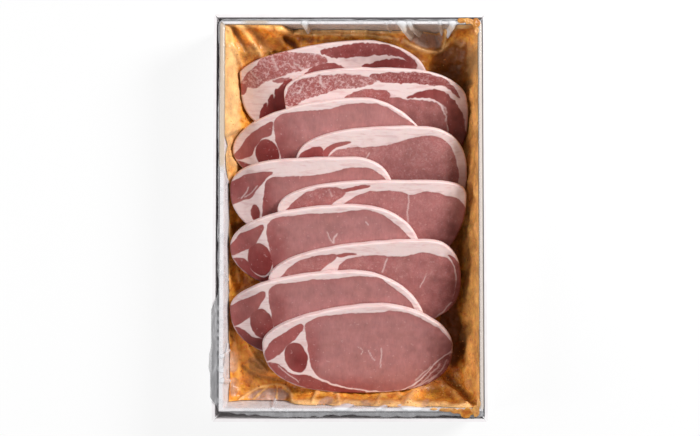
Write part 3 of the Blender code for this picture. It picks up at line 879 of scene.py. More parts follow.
def make_pork_finish(looks):
    """Raw pork: moist and soft, pale fibrous loin, redder muscles round it, white fat blushed with pink, and painted
    shade on the slices' ends.
    """
    material, tree, shader, place = new_finish("raw pork loin")
    depth = add_node(tree, "ShaderNodeAttribute", attribute_name="depth").outputs["Fac"]
    tone = add_node(tree, "ShaderNodeAttribute", attribute_name="tone").outputs["Fac"]
    marbling = add_node(tree, "ShaderNodeAttribute", attribute_name="marbling").outputs["Fac"]
    streak = add_node(tree, "ShaderNodeAttribute", attribute_name="streak").outputs["Fac"]
    shade_and_brown = add_node(tree, "ShaderNodeAttribute", attribute_name="shade").outputs["Fac"]
    flushed = add_node(tree, "ShaderNodeAttribute", attribute_name="flush").outputs["Fac"]

    # fibres 1.4 mm apart that run up the slice, mottling 8 mm wide over clouds 24 mm wide, flecks 2 mm wide
    along = add_node(tree, "ShaderNodeMapping", {"Vector": place, "Scale": (700.0, 150.0, 400.0)})
    fibre = add_node(
        tree, "ShaderNodeTexNoise", {"Vector": along.outputs[0], "Scale": 1.0, "Detail": 4.0, "Distortion": 0.6}
    )
    mottle = add_node(tree, "ShaderNodeTexNoise", {"Vector": place, "Scale": 125.0, "Detail": 4.0})
    cloud = add_node(tree, "ShaderNodeTexNoise", {"Vector": place, "Scale": 42.0, "Detail": 2.0})
    fleck = add_node(
        tree, "ShaderNodeTexNoise", {"Vector": place, "Scale": 430.0, "Detail": 2.5, "Roughness": 0.5}
    )
    pores = add_node(tree, "ShaderNodeTexNoise", {"Vector": place, "Scale": 1400.0, "Detail": 2.0})

    muscle = add_node(
        tree,
        "ShaderNodeValToRGB",
        {"Fac": tone},
        stops=((0.1, looks.eye), (0.5, looks.red), (0.9, looks.dark)),
    )
    edge = add_node(
        tree, "ShaderNodeMapRange", {"Value": depth, "From Min": 0.0, "From Max": 7.0, "To Min": 0.3, "To Max": 0.0}
    )
    edged = add_node(
        tree,
        "ShaderNodeMix",
        {0: edge.outputs[0], 6: muscle.outputs[0], 7: opaque(looks.red)},
        data_type="RGBA",
    )
    greyer = add_node(
        tree,
        "ShaderNodeMapRange",
        {"Value": cloud.outputs["Fac"], "From Min": 0.4, "From Max": 0.66, "To Max": 0.34},
        interpolation_type="SMOOTHSTEP",
    )
    clouded = add_node(
        tree,
        "ShaderNodeMix",
        {0: greyer.outputs[0], 6: edged.outputs[2], 7: opaque(looks.dull)},
        data_type="RGBA",
    )
    fine = add_node(tree, "ShaderNodeMath", {0: fibre.outputs["Fac"], 1: 0.6}, operation="MULTIPLY")
    shade = add_node(
        tree, "ShaderNodeMath", {0: fine.outputs[0], 1: mottle.outputs["Fac"]}, operation="ADD"
    )
    bright = add_node(
        tree,
        "ShaderNodeMapRange",
        {"Value": shade.outputs[0], "From Min": 0.55, "From Max": 1.05, "To Min": 0.86, "To Max": 1.15},
    )
    redder = add_node(
        tree,
        "ShaderNodeMix",
        {0: flushed, 6: clouded.outputs[2], 7: opaque(looks.flush)},
        data_type="RGBA",
        blend_type="MULTIPLY",
    )
    lit = add_node(
        tree, "ShaderNodeVectorMath", {0: redder.outputs[2], "Scale": bright.outputs[0]}, operation="SCALE"
    )
    limit = add_node(
        tree,
        "ShaderNodeMapRange",
        {"Value": marbling, "From Min": 0.0, "From Max": 1.0, "To Min": 0.67, "To Max": 0.54},
    )
    over = add_node(
        tree, "ShaderNodeMath", {0: fleck.outputs["Fac"], 1: limit.outputs[0]}, operation="SUBTRACT"
    )
    strongest = add_node(
        tree,
        "ShaderNodeMapRange",
        {"Value": marbling, "From Min": 0.4, "From Max": 1.0, "To Min": 0.3, "To Max": 0.7},
    )
    flecks = add_node(
        tree,
        "ShaderNodeMapRange",
        {"Value": over.outputs[0], "From Min": 0.0, "From Max": 0.07, "To Max": strongest.outputs[0]},
        interpolation_type="SMOOTHSTEP",
    )

    # fat that winds through a muscle in soft veins 3 mm apart
    wind = add_node(
        tree, "ShaderNodeTexNoise", {"Vector": place, "Scale": 300.0, "Detail": 2.5, "Distortion": 0.9}
    )
    off_vein = add_node(tree, "ShaderNodeMath", {0: wind.outputs["Fac"], 1: 0.5}, operation="SUBTRACT")
    from_vein = add_node(tree, "ShaderNodeMath", {0: off_vein.outputs[0]}, operation="ABSOLUTE")
    thread = add_node(
        tree,
        "ShaderNodeMapRange",
        {"Value": from_vein.outputs[0], "From Min": 0.0, "From Max": 0.07, "To Min": 1.0, "To Max": 0.1},
        interpolation_type="SMOOTHSTEP",
    )
    netted = add_node(
        tree,
        "ShaderNodeMapRange",
        {"Value": marbling, "From Min": 0.2, "From Max": 1.0, "To Max": 0.7},
    )
    netting = add_node(tree, "ShaderNodeMath", {0: thread.outputs[0], 1: netted.outputs[0]}, operation="MULTIPLY")
    patchy = add_node(
        tree,
        "ShaderNodeMapRange",
        {"Value": mottle.outputs["Fac"], "From Min": 0.36, "From Max": 0.6, "To Min": 0.35, "To Max": 1.0},
    )
    patches = add_node(
        tree, "ShaderNodeMath", {0: netting.outputs[0], 1: patchy.outputs[0]}, operation="MULTIPLY"
    )
    pale = add_node(tree, "ShaderNodeMath", {0: flecks.outputs[0], 1: patches.outputs[0]}, operation="MAXIMUM")
    marbled = add_node(
        tree,
        "ShaderNodeMix",
        {0: pale.outputs[0], 6: lit.outputs[0], 7: opaque(looks.blush)},
        data_type="RGBA",
    )
    lined_amount = add_node(tree, "ShaderNodeMath", {0: streak, 1: 0.6}, operation="MULTIPLY")
    lined = add_node(
        tree,
        "ShaderNodeMix",
        {0: lined_amount.outputs[0], 6: marbled.outputs[2], 7: opaque(looks.fat)},
        data_type="RGBA",
    )
    lengthwise = add_node(tree, "ShaderNodeMapping", {"Vector": place, "Scale": (70.0, 420.0, 420.0)})
    grain = add_node(
        tree, "ShaderNodeTexNoise", {"Vector": lengthwise.outputs[0], "Scale": 1.0, "Detail": 3.0, "Distortion": 0.7}
    )
    blush = add_node(
        tree,
        "ShaderNodeMapRange",
        {"Value": grain.outputs["Fac"], "From Min": 0.48, "From Max": 0.72, "To Max": 0.7},
        interpolation_type="SMOOTHSTEP",
    )
    fat = add_node(
        tree,
        "ShaderNodeMix",
        {0: blush.outputs[0], 6: opaque(looks.fat), 7: opaque(looks.blush)},
        data_type="RGBA",
    )
    is_meat = add_node(
        tree,
        "ShaderNodeMapRange",
        {"Value": depth, "From Min": -0.45, "From Max": 0.45},
        interpolation_type="SMOOTHSTEP",
    )
    whole = add_node(
        tree,
        "ShaderNodeMix",
        {0: is_meat.outputs[0], 6: fat.outputs[2], 7: lined.outputs[2]},
        data_type="RGBA",
    )
    # painted shade, with some real browning, darkens the slices' ends
    browned = add_node(
        tree,
        "ShaderNodeMix",
        {0: shade_and_brown, 6: whole.outputs[2], 7: opaque(looks.shade_and_browning)},
        data_type="RGBA",
        blend_type="MULTIPLY",
    )
    bump = add_node(
        tree, "ShaderNodeBump", {"Height": pores.outputs["Fac"], "Strength": 0.35, "Distance": 0.0003}
    )
    tree.links.new(browned.outputs[2], shader.inputs["Base Color"])
    tree.links.new(bump.outputs[0], shader.inputs["Normal"])
    shader.inputs["Roughness"].default_value = 0.42
    shader.inputs["IOR"].default_value = 1.4
    shader.inputs["Subsurface Weight"].default_value = 0.12
    shader.inputs["Subsurface Radius"].default_value = (0.9, 0.35, 0.2)
    shader.inputs["Subsurface Scale"].default_value = 0.003
    return material


# ---------------------------------------------------------------- marinade paste


class Ridge(NamedTuple):
    """A fold or hollow in the paste: a line seen from above, how wide, how high, how pale it is, partly as a painted
    highlight, and how dark with painted shade.
    """

    line: tuple
    width: float
    height: float
    pale: float = 0.0
    dark: float = 0.0


# Along each wall: the place, how high the paste reaches up the film there, and how far it spreads into the well
WALL_PASTE = {
    "front": (
        (-99, 20, 3.0), (-88, 13, 3.0), (-66, 12, 3.0), (-52, 13, 3.0), (-45, 32, 4.0), (-30, 40, 4.0), (-20, 36, 4.0),
        (-8, 44, 4.5), (9, 40, 4.0), (22, 46, 5.0), (50, 50, 5.5), (60, 44, 5.0), (84, 51.5, 6.0), (100, 51.8, 6.0)),
    "right": (
        (-149, 51.8, 6.0), (-128, 51.6, 5.0), (-100, 51.2, 4.6), (-60, 51.2, 4.4), (0, 51.2, 4.4), (60, 51.2, 4.4),
        (110, 50.9, 4.2), (132, 50.4, 4.0), (151, 51.5, 4.4)),
    "back": (
        (-99, 51.8, 9.0), (-72, 51.2, 9.0), (-54, 50, 7.0), (-47, 33, 4.0), (-40, 36, 5.0), (-14, 34, 5.0),
        (0, 35, 5.0), (20, 32, 4.5), (38, 30, 4.0), (48, 15, 3.0), (68, 13, 3.0), (74, 38, 4.0), (84, 51, 5.0),
        (100, 51.8, 5.0)),
    "left": (
        (-149, 20, 3.0), (-128, 11, 3.0), (-106, 11, 3.0), (-96, 22, 3.0), (-60, 18, 2.4), (-30, 23, 2.4),
        (0, 19, 2.4), (26, 23, 3.0), (40, 44, 4.0), (56, 51.5, 6.0), (100, 51.8, 7.0), (151, 51.8, 9.0)),
}

# Pale crests are thin paste on film folds and partly painted highlights; dark hollows carry painted shade
RIDGES = (
    Ridge(((-87, 150), (-83, 145), (-78, 139), (-72, 130)), 2.4, 2.6, 0.9),
    Ridge(((-96, 146), (-94, 138), (-91, 130), (-88, 122)), 1.9, 2.0, 0.7),
    Ridge(((-94, 150), (-88, 141), (-84, 133)), 2.2, -2.4, 0.0, 0.55),
    Ridge(((-80, 150), (-74, 142), (-67, 134), (-58, 130)), 4.5, -2.4, 0.0, 0.6),
    Ridge(((-66, 150), (-60, 146), (-54, 140)), 2.6, 1.4, 0.25),
    Ridge(((-56, 149), (-50, 147), (-43, 148.5)), 2.6, 3.2, 0.8),
    Ridge(((-50, 142), (-46, 139), (-43, 134)), 3.2, -4.5, 0.0, 0.95),
    Ridge(((-41, 148), (-30, 146.5), (-18, 147), (-4, 146), (10, 146.6), (24, 145), (38, 143)), 1.5, 1.6, 0.75),
    Ridge(((-38, 143), (-20, 141.5), (0, 141), (20, 139.5), (36, 137)), 1.8, -1.0, 0.0, 0.6),
    Ridge(((43, 142), (49, 137.6), (57, 134.6), (66, 134), (74, 136), (79, 141)), 1.7, 2.4, 0.75),
    Ridge(((75, 139), (77, 144), (76.5, 149)), 1.4, 2.4, 1.0),
    Ridge(((82, 147), (85, 143), (90, 140)), 2.4, 2.0, 0.35),
    Ridge(((-90, -147), (-82, -142), (-73, -137.4), (-62, -135.6), (-54, -137.4), (-49, -142), (-47, -147)), 1.5, 2.2, 0.9),
    Ridge(((-79, -147), (-72, -141), (-66, -136)), 0.9, 1.0, 1.0),
    Ridge(((-60.5, -136), (-60, -141), (-60.5, -147)), 0.8, 1.0, 1.0),
    Ridge(((-30, -146), (-27, -142), (-18, -140.5), (-11, -143), (-9, -147)), 1.4, 1.6, 0.6),
    Ridge(((44, -147), (52, -140), (62, -136), (72, -131)), 3.4, 3.4, 0.45),
    Ridge(((72, -131), (79, -138), (90, -146)), 2.2, 2.4, 0.35),
    Ridge(((78, -128), (84, -134), (92, -141)), 2.6, -2.6, 0.0, 0.7),
    Ridge(((96, -96), (94, -112), (93, -126), (94, -138)), 1.6, 1.6, 0.3),
    Ridge(((92, -70), (91.5, -86), (90, -100)), 1.6, 1.4, 0.15),
    Ridge(((-96, -92), (-93, -108), (-91, -126), (-92, -140)), 2.4, 1.4, 0.35),
    Ridge(((-92, -86), (-86, -99), (-80, -111), (-70, -123)), 1.3, 1.5, 0.5),
    Ridge(((-85, -84), (-79, -97), (-70, -109)), 1.5, -1.6, 0.0, 0.45),
    Ridge(((-97, -78), (-93, -88), (-89, -97)), 1.3, 1.6, 0.6),
    Ridge(((-88, -121), (-80, -127), (-68, -130.5), (-54, -132)), 1.7, -1.6, 0.0, 0.5),
    Ridge(((-84, -117), (-75, -123), (-62, -127)), 1.1, 1.1, 0.45),
    Ridge(((-40, -138), (-24, -137), (-6, -139), (10, -137)), 1.3, 1.2, 0.4),
    Ridge(((20, -147), (26, -142), (36, -140), (42, -144)), 1.3, 1.5, 0.5),
    Ridge(((-97, 20), (-93, 12), (-91, 2)), 1.5, 1.4, 0.4),
    Ridge(((-97, -34), (-93, -42), (-91, -52)), 1.5, 1.4, 0.5),
)

# Where only a thin film of paste lies on the liner, partly painted light; where warm pools of painted light lie on it;
# and where painted shade darkens it, with some deep wet paste
THIN_AND_LIT_STAINS = (
    Stain((-84, -100), (13, 26), 10.0, 0.28),
    Stain((-70, -128), (20, 10), 0.0, 0.22),
    Stain((-80, 128), (20, 18), -30.0, 0.2),
    Stain((-97, 94), (8.5, 58), 0.0, 0.95),
    Stain((-94, 56), (5, 20), 0.0, 0.6),
    Stain((-93, -108), (3.5, 24), 4.0, 0.45),
    Stain((96.5, 0), (5.0, 150), 0.0, 0.32),
    Stain((-50, 147.5), (5, 3), 0.0, 0.6),
)
BARE_STAINS = (
    Stain((-68, -144), (17, 5.5)),
    Stain((-20, -147), (6.5, 1.8), 14.0, 0.75),
    Stain((12, -147), (4.4, 1.5), -12.0, 0.6),
    Stain((58.5, -146.5), (3.6, 1.5), 20.0, 0.55),
    Stain((61, 143.5), (13, 6.5), 0.0, 1.0),
    Stain((-95.5, -117.5), (4.2, 9.0)),
    Stain((-94.5, -137.0), (3.4, 8.0), 0.0, 0.7),
)
# Warm pools of painted light on the lit paste: the left front, the left wall and the back left
PAINTED_LIGHT_STAINS = (
    Stain((-88, -112), (13, 38), 0.0, 1.0),
    Stain((-66, -130), (34, 12), 0.0, 0.7),
    Stain((-92, -20), (7, 60), 0.0, 0.6),
    Stain((-70, 144), (34, 12), 8.0, 0.75),
)
SHADE_STAINS = (
    Stain((64, 124), (24, 13), -30.0, 0.6),
    Stain((20, -146), (60, 2.6), 0.0, 0.25),
    Stain((80, 118), (20, 26), -30.0, 0.9),
    Stain((80, 60), (10, 40), 0.0, 0.7),
    Stain((82, -92), (11, 30), 0.0, 1.0),
    Stain((84, -30), (8, 40), 0.0, 0.75),
    Stain((-76, -121), (10, 6), -38.0, 0.4),
    Stain((-86, -12), (14, 9), 0.0, 0.9),
    Stain((-84, 44), (12, 6), 0.0, 0.6),
    Stain((-84, -66), (12, 9), 0.0, 0.5),
    Stain((-60, 137), (26, 6), 12.0, 0.35),
)


def slice_footprints(clear):
    """Each slice's outline from above, this much larger than the slice."""
    prints = []
    for index, shape in enumerate(SLICES):
        outline = slice_outline(shape, 8)
        away = outline - np.array(middle_of(shape))
        grown = outline + away / np.hypot(away[:, 0], away[:, 1])[:, None] * clear
        prints.append(np.stack((grown[:, 0], toe_of(index) + grown[:, 1] * math.cos(TILT)), 1))
    return prints


def room_under_slices(x, y, clear, steepness):
    """The highest that paste may stand here without touching a slice, rising outwards from the slices."""
    half = SLICE_THICKNESS / 2 / math.cos(TILT)
    room = np.full(x.shape, TRAY_HEIGHT)
    for index, outline in enumerate(slice_footprints(clear)):
        outside = np.maximum(-depth_in(outline, x, y), 0.0)
        room = np.minimum(room, middle_height(index, x, y) - half - 0.8 + steepness * outside)
    return room


def paste_reach(name, along):
    """How high the ragged edge of the paste is on one wall, and how far the paste spreads from it."""
    places, reaches, spreads = zip(*WALL_PASTE[name])
    reach = np.interp(along, places, reaches)
    scallop = 2.2 * np.abs(lumps(along, along * 0, 5.0, 7)) + 1.6 * lumps(along, along * 0, 11.0, 8)
    return reach - scallop * smooth_step((50.5 - reach) / 4.0), np.interp(along, places, spreads)


def wall_distances(x, y):
    """How far each wall is, and the place along it, for the front, right, back and left."""
    return (
        ("front", y - WELL_FRONT, x),
        ("right", WELL_RIGHT - x, y),
        ("back", WELL_BACK - y, x),
        ("left", x - WELL_LEFT, y),
    )


def paste_height(x, y):
    """The paste's surface: a bed, a bank behind the back slice and smears up each wall, all under the slices."""
    floor = PASTE_LEVEL + 0.7 * np.sin(x / 11.0) * np.cos(y / 14.0)
    bank = np.minimum(TOE_HEIGHT + (y - FIRST_TOE) * math.tan(TILT) + bend(x, y), PASTE_BANK_TOP)
    bank = bank - PASTE_WEDGE_DROP * smooth_step((x - 52.0) / 24.0)
    height = np.maximum(floor, bank)
    room = room_under_slices(x, y, PASTE_CLEAR_OF_SLICE, PASTE_SWELL_SLOPE)
    beside = smooth_step((y - 28.0) / 18.0) * smooth_step((-62.0 - x) / 14.0)
    height = np.maximum(height, np.minimum(room, 33.0) * beside)
    height = np.maximum(np.minimum(height, room), PASTE_LEAST)
    for name, away, along in wall_distances(x, y):
        reach, spread = paste_reach(name, along)
        rise = np.exp(-np.maximum(away - PASTE_INSET, 0.0) / spread)
        height = np.maximum(height, height + (reach - height) * rise)
    wall_room = room_under_slices(x, y, 0.8, 9.0)
    return np.maximum(np.minimum(height, wall_room), PASTE_LEAST)


def net_lines(low, high, cell):
    """Places of the bed's net lines: close together by the walls, where the paste is steep."""
    by_wall = np.array((0.0, 0.12, 0.3, 0.55, 0.85, 1.2, 1.6, 2.1, 2.7, 3.4, 4.2, 5.0))
    inner = np.linspace(low + 6.0, high - 6.0, round((high - low - 12.0) / cell))
    return np.concatenate((low + by_wall, inner, high - by_wall[::-1]))


def make_paste_bed(looks):
    """The bed of paste: lumpy, folded where it was smeared, its top edges ragged on the film."""
    across = net_lines(WELL_LEFT + PASTE_INSET, WELL_RIGHT - PASTE_INSET, looks.cell)
    along = net_lines(WELL_FRONT + PASTE_INSET, WELL_BACK - PASTE_INSET, looks.cell)
    x, y = np.meshgrid(across, along)
    z = paste_height(x, y)
    slope_y, slope_x = np.gradient(z, along, across)
    length = np.sqrt(slope_x**2 + slope_y**2 + 1)
    facing = np.stack((-slope_x / length, -slope_y / length, 1 / length), -1)
    flat = facing[..., 2] ** 2
    side_on = facing[..., 0] ** 2
    end_on = facing[..., 1] ** 2
    swell = np.zeros(x.shape)
    for size, share, seed in ((10.0, 1.0, 1), (4.6, 0.6, 2), (2.3, 0.34, 3), (1.3, 0.16, 4)):
        swell += share * (
            flat * lumps(x, y, size, seed) + side_on * lumps(y, z, size, seed + 5) + end_on * lumps(x, z, size, seed + 9)
        )
    swell *= looks.relief
    pale = np.zeros(x.shape)
    # painted shade: the right floor and wall, the back right corner, beside the slices' ends and behind the back slice
    dark = stained(SHADE_STAINS, x, y)
    for ridge in RIDGES:
        away = distance_to(rounded(ridge.line, 5, closed=False), x, y, closed=False)
        away = away + 0.25 * ridge.width * lumps(x, y, 3.0, 41)
        over = np.exp(-((away / ridge.width) ** 2))
        swell += ridge.height * over
        # pale crests are thin paste and partly a painted highlight; hollows get painted shade
        pale = np.maximum(pale, ridge.pale * over**1.5)
        dark = np.maximum(dark, ridge.dark * over)
    to_wall = np.minimum.reduce([away for _, away, _ in wall_distances(x, y)]) - PASTE_INSET
    room = np.minimum(room_under_slices(x, y, 0.8, 9.0) - z + 0.4, 4.0)
    swell = np.minimum(swell, np.maximum(room, 0.0)) * smooth_step(to_wall / 0.8)
    points = np.stack((x, y, z), -1) + facing * swell[..., None]
    inset = PASTE_INSET + np.minimum(to_wall, PASTE_CLEAR_OF_SKIRT)
    points[..., 0] = np.clip(points[..., 0], WELL_LEFT + inset, WELL_RIGHT - inset)
    points[..., 1] = np.clip(points[..., 1], WELL_FRONT + inset, WELL_BACK - inset)
    points[..., 2] = np.clip(points[..., 2], PASTE_LEAST - 0.5, TRAY_HEIGHT)
    rows, columns = x.shape
    top = points.reshape(-1, 3)
    rim = rim_order(columns - 1, rows - 1)
    skirt = top[rim].copy()
    skirt[:, 2] = PASTE_LEAST - 1.6
    low = np.arange(len(rim)) + len(top)
    faces = grid_faces(rows, columns).tolist()
    faces += np.stack((rim, np.roll(rim, -1), np.roll(low, -1), low), 1).tolist()
    faces.append(low.tolist())
    obj = piece_from("paste_bed", np.vstack((top, skirt)), faces)
    point_out(obj)
    # paler high up the film where the paste is thin; with the pale stains and crests this is also painted light, halved
    # on the right wall
    on_film = 1.0 - smooth_step((to_wall - 0.7) / 2.4)
    on_film = on_film * smooth_step((z - 13.0) / 14.0) * (1.0 - 0.5 * smooth_step((x - 90.0) / 6.0))
    thin_and_lit = np.maximum.reduce((on_film, pale, stained(THIN_AND_LIT_STAINS, x, y)))
    bare = stained(BARE_STAINS, x, y) * (1.0 - np.minimum(pale * 1.6, 1.0))
    grainy = smooth_step((y + 100.0) / -16.0) * smooth_step((x + 40.0) / 30.0)
    none = np.zeros(len(rim))
    # painted light, kept off the painted shade
    painted_light = stained(PAINTED_LIGHT_STAINS, x, y, 0.9) * (1.0 - dark)
    for name, values in (("thin_and_lit", thin_and_lit), ("dark", dark), ("bare", bare), ("painted_light", painted_light), ("grainy", grainy)):
        paint(obj, name, np.concatenate((values.ravel(), none)))
    obj.data.materials.append(bpy.data.materials["soybean marinade paste"])
    settle(obj, "paste", "marinade_paste")
    return obj


class Smear(NamedTuple):
    """Paste that was dragged over the rim: where, how large, how thick, and how pale it is."""

    middle: tuple
    half: tuple
    thickness: float
    pale: float


RIM_TOP = TRAY_HEIGHT + 0.66
SMEARS = (
    Smear((88.2, 153.0), (3.4, 1.9), 0.6, 0.1),
    Smear((93.0, 152.3), (3.6, 2.7), 0.6, 0.35),
    Smear((97.6, 150.4), (2.6, 3.4), 0.55, 0.1),
    Smear((98.4, 145.0), (1.5, 3.6), 0.5, 0.45),
    Smear((74, -149.6), (6.5, 1.5), 0.5, 0.35),
    Smear((82, -150.6), (5.2, 2.4), 0.6, 0.15),
    Smear((90.0, -151.4), (4.6, 3.2), 0.6, 0.0),
    Smear((96.0, -150.2), (3.6, 3.4), 0.6, 0.3),
    Smear((98.6, -144.5), (1.4, 4.4), 0.5, 0.5),
    Smear((64, -148.9), (4.0, 1.0), 0.45, 0.5),
)
SMEAR_COLUMNS = 60
SMEAR_ROWS = 20


def make_paste_smears(looks):
    """Thin lens-like dabs of paste on the film where it turns over the walls."""
    points, faces, pale = [], [], []
    for number, smear in enumerate(SMEARS):
        u, v = disc_grid(SMEAR_COLUMNS, SMEAR_ROWS)
        if smear.half[1] > smear.half[0]:
            u, v = disc_grid(SMEAR_ROWS, SMEAR_COLUMNS)
        reach = np.hypot(u, v)
        ragged = 1 + 0.45 * lumps(u * smear.half[0], v * smear.half[1], 3.0, 50 + number)
        x = smear.middle[0] + u * smear.half[0] * ragged
        y = smear.middle[1] + v * smear.half[1] * ragged
        dome = smear.thickness * (1 - reach**3) * (0.65 + 0.5 * lumps(x, y, 1.7, 70 + number))
        start = len(points)
        top = np.stack((x, y, RIM_TOP + np.minimum(dome, TOP_LIMIT - RIM_TOP)), -1).reshape(-1, 3)
        base = np.stack((x, y, np.full(x.shape, RIM_TOP - 0.05)), -1).reshape(-1, 3)
        rim = rim_order(x.shape[1] - 1, x.shape[0] - 1)
        points += top.tolist()
        low = start + len(top) + np.arange(len(rim))
        points += base[rim].tolist()
        faces += (grid_faces(*x.shape) + start).tolist()
        faces += np.stack((rim + start, np.roll(rim, -1) + start, np.roll(low, -1), low), 1).tolist()
        faces.append(low.tolist())
        pale += [smear.pale] * (len(top) + len(rim))
    obj = piece_from("paste_smears", points, faces)
    point_out(obj)
    paint(obj, "thin_and_lit", pale)
    paint(obj, "dark", np.full(len(points), 0.4))
    for name in ("bare", "painted_light", "grainy"):
        paint(obj, name, np.zeros(len(points)))
    obj.data.materials.append(bpy.data.materials["soybean marinade paste"])
    settle(obj, "paste", "marinade_paste")
    return obj


def grain_tree():
    """Geometry Nodes that strew small lumpy grains over a surface where its attribute grainy says so."""
    tree = bpy.data.node_groups.new("strewn grains", "GeometryNodeTree")
    face = tree.interface
    face.new_socket("Geometry", in_out="INPUT", socket_type="NodeSocketGeometry")
    face.new_socket("Density", in_out="INPUT", socket_type="NodeSocketFloat")
    face.new_socket("Size", in_out="INPUT", socket_type="NodeSocketFloat")
    face.new_socket("Finish", in_out="INPUT", socket_type="NodeSocketMaterial")
    face.new_socket("Geometry", in_out="OUTPUT", socket_type="NodeSocketGeometry")
    given = add_node(tree, "NodeGroupInput").outputs
    grainy = add_node(tree, "GeometryNodeInputNamedAttribute", {"Name": "grainy"}, data_type="FLOAT")
    share = add_node(
        tree, "ShaderNodeMapRange", {"Value": grainy.outputs["Attribute"], "To Min": 0.12, "To Max": 1.0}
    )
    wanted = add_node(
        tree, "ShaderNodeMath", {0: share.outputs[0], 1: given["Density"]}, operation="MULTIPLY"
    )
    normal = add_node(tree, "GeometryNodeInputNormal")
    parts = add_node(tree, "ShaderNodeSeparateXYZ", {0: normal.outputs[0]})
    facing_up = add_node(tree, "FunctionNodeCompare", {0: parts.outputs[2], 1: 0.35}, operation="GREATER_THAN")
    strewn = add_node(
        tree,
        "GeometryNodeDistributePointsOnFaces",
        {"Mesh": given["Geometry"], "Selection": facing_up.outputs[0], "Density": wanted.outputs[0], "Seed": 7},
        distribute_method="RANDOM",
    )
    ball = add_node(tree, "GeometryNodeMeshIcoSphere", {"Radius": 0.5, "Subdivisions": 1})
    turn = add_node(
        tree,
        "FunctionNodeRandomValue",
        {0: (0.0, 0.0, 0.0), 1: (6.28, 6.28, 6.28), "Seed": 3},
        data_type="FLOAT_VECTOR",
    )
    stretch = add_node(
        tree,
        "FunctionNodeRandomValue",
        {0: (0.5, 0.4, 0.35), 1: (1.25, 0.8, 0.7), "Seed": 5},
        data_type="FLOAT_VECTOR",
    )
    size = add_node(
        tree, "ShaderNodeVectorMath", {0: stretch.outputs[0], "Scale": given["Size"]}, operation="SCALE"
    )
    placed = add_node(
        tree,
        "GeometryNodeInstanceOnPoints",
        {
            "Points": strewn.outputs["Points"],
            "Instance": ball.outputs[0],
            "Rotation": turn.outputs[0],
            "Scale": size.outputs[0],
        },
    )
    real = add_node(tree, "GeometryNodeRealizeInstances", {0: placed.outputs[0]})
    finished = add_node(
        tree, "GeometryNodeSetMaterial", {"Geometry": real.outputs[0], "Material": given["Finish"]}
    )
    add_node(tree, "NodeGroupOutput", {0: finished.outputs[0]})
    return tree


def make_paste_grains(looks):
    """Bits of malted rice and bean that stand out of the paste."""
    bed = bpy.data.objects["paste_bed"]
    source = bpy.data.objects.new("grain source", bed.data.copy())
    bpy.context.scene.collection.objects.link(source)
    source.data.materials.clear()
    strew = source.modifiers.new("strew grains", "NODES")
    tree = grain_tree()
    names = {item.name: item.identifier for item in tree.interface.items_tree if item.in_out == "INPUT"}
    strew.node_group = tree
    strew[names["Density"]] = looks.grain_density * 1.0e4
    strew[names["Size"]] = looks.grain * TO_METRES
    strew[names["Finish"]] = bpy.data.materials["malted grain"]
    posed = source.evaluated_get(bpy.context.evaluated_depsgraph_get())
    mesh = bpy.data.meshes.new_from_object(posed)
    mesh.name = "paste_grains"
    bpy.data.objects.remove(source)
    mesh.shade_smooth()
    obj = bpy.data.objects.new("paste_grains", mesh)
    bpy.context.scene.collection.objects.link(obj)
    settle(obj, "paste", "marinade_paste")
    return obj


def make_grain_finish(looks):
    """Malted rice and bean skins in the paste: soft, wet and paler than it."""
    material, tree, shader, place = new_finish("malted grain")

    # each grain differs from the next, over 3 mm
    varied = add_node(tree, "ShaderNodeTexNoise", {"Vector": place, "Scale": 330.0, "Detail": 1.0})
    colour = add_node(
        tree,
        "ShaderNodeValToRGB",
        {"Fac": varied.outputs["Fac"]},
        stops=((0.35, looks.husk), (0.5, looks.thick), (0.68, looks.thin_and_lit)),
    )
    tree.links.new(colour.outputs[0], shader.inputs["Base Color"])
    shader.inputs["Roughness"].default_value = 0.25
    shader.inputs["IOR"].default_value = 1.42
    return material


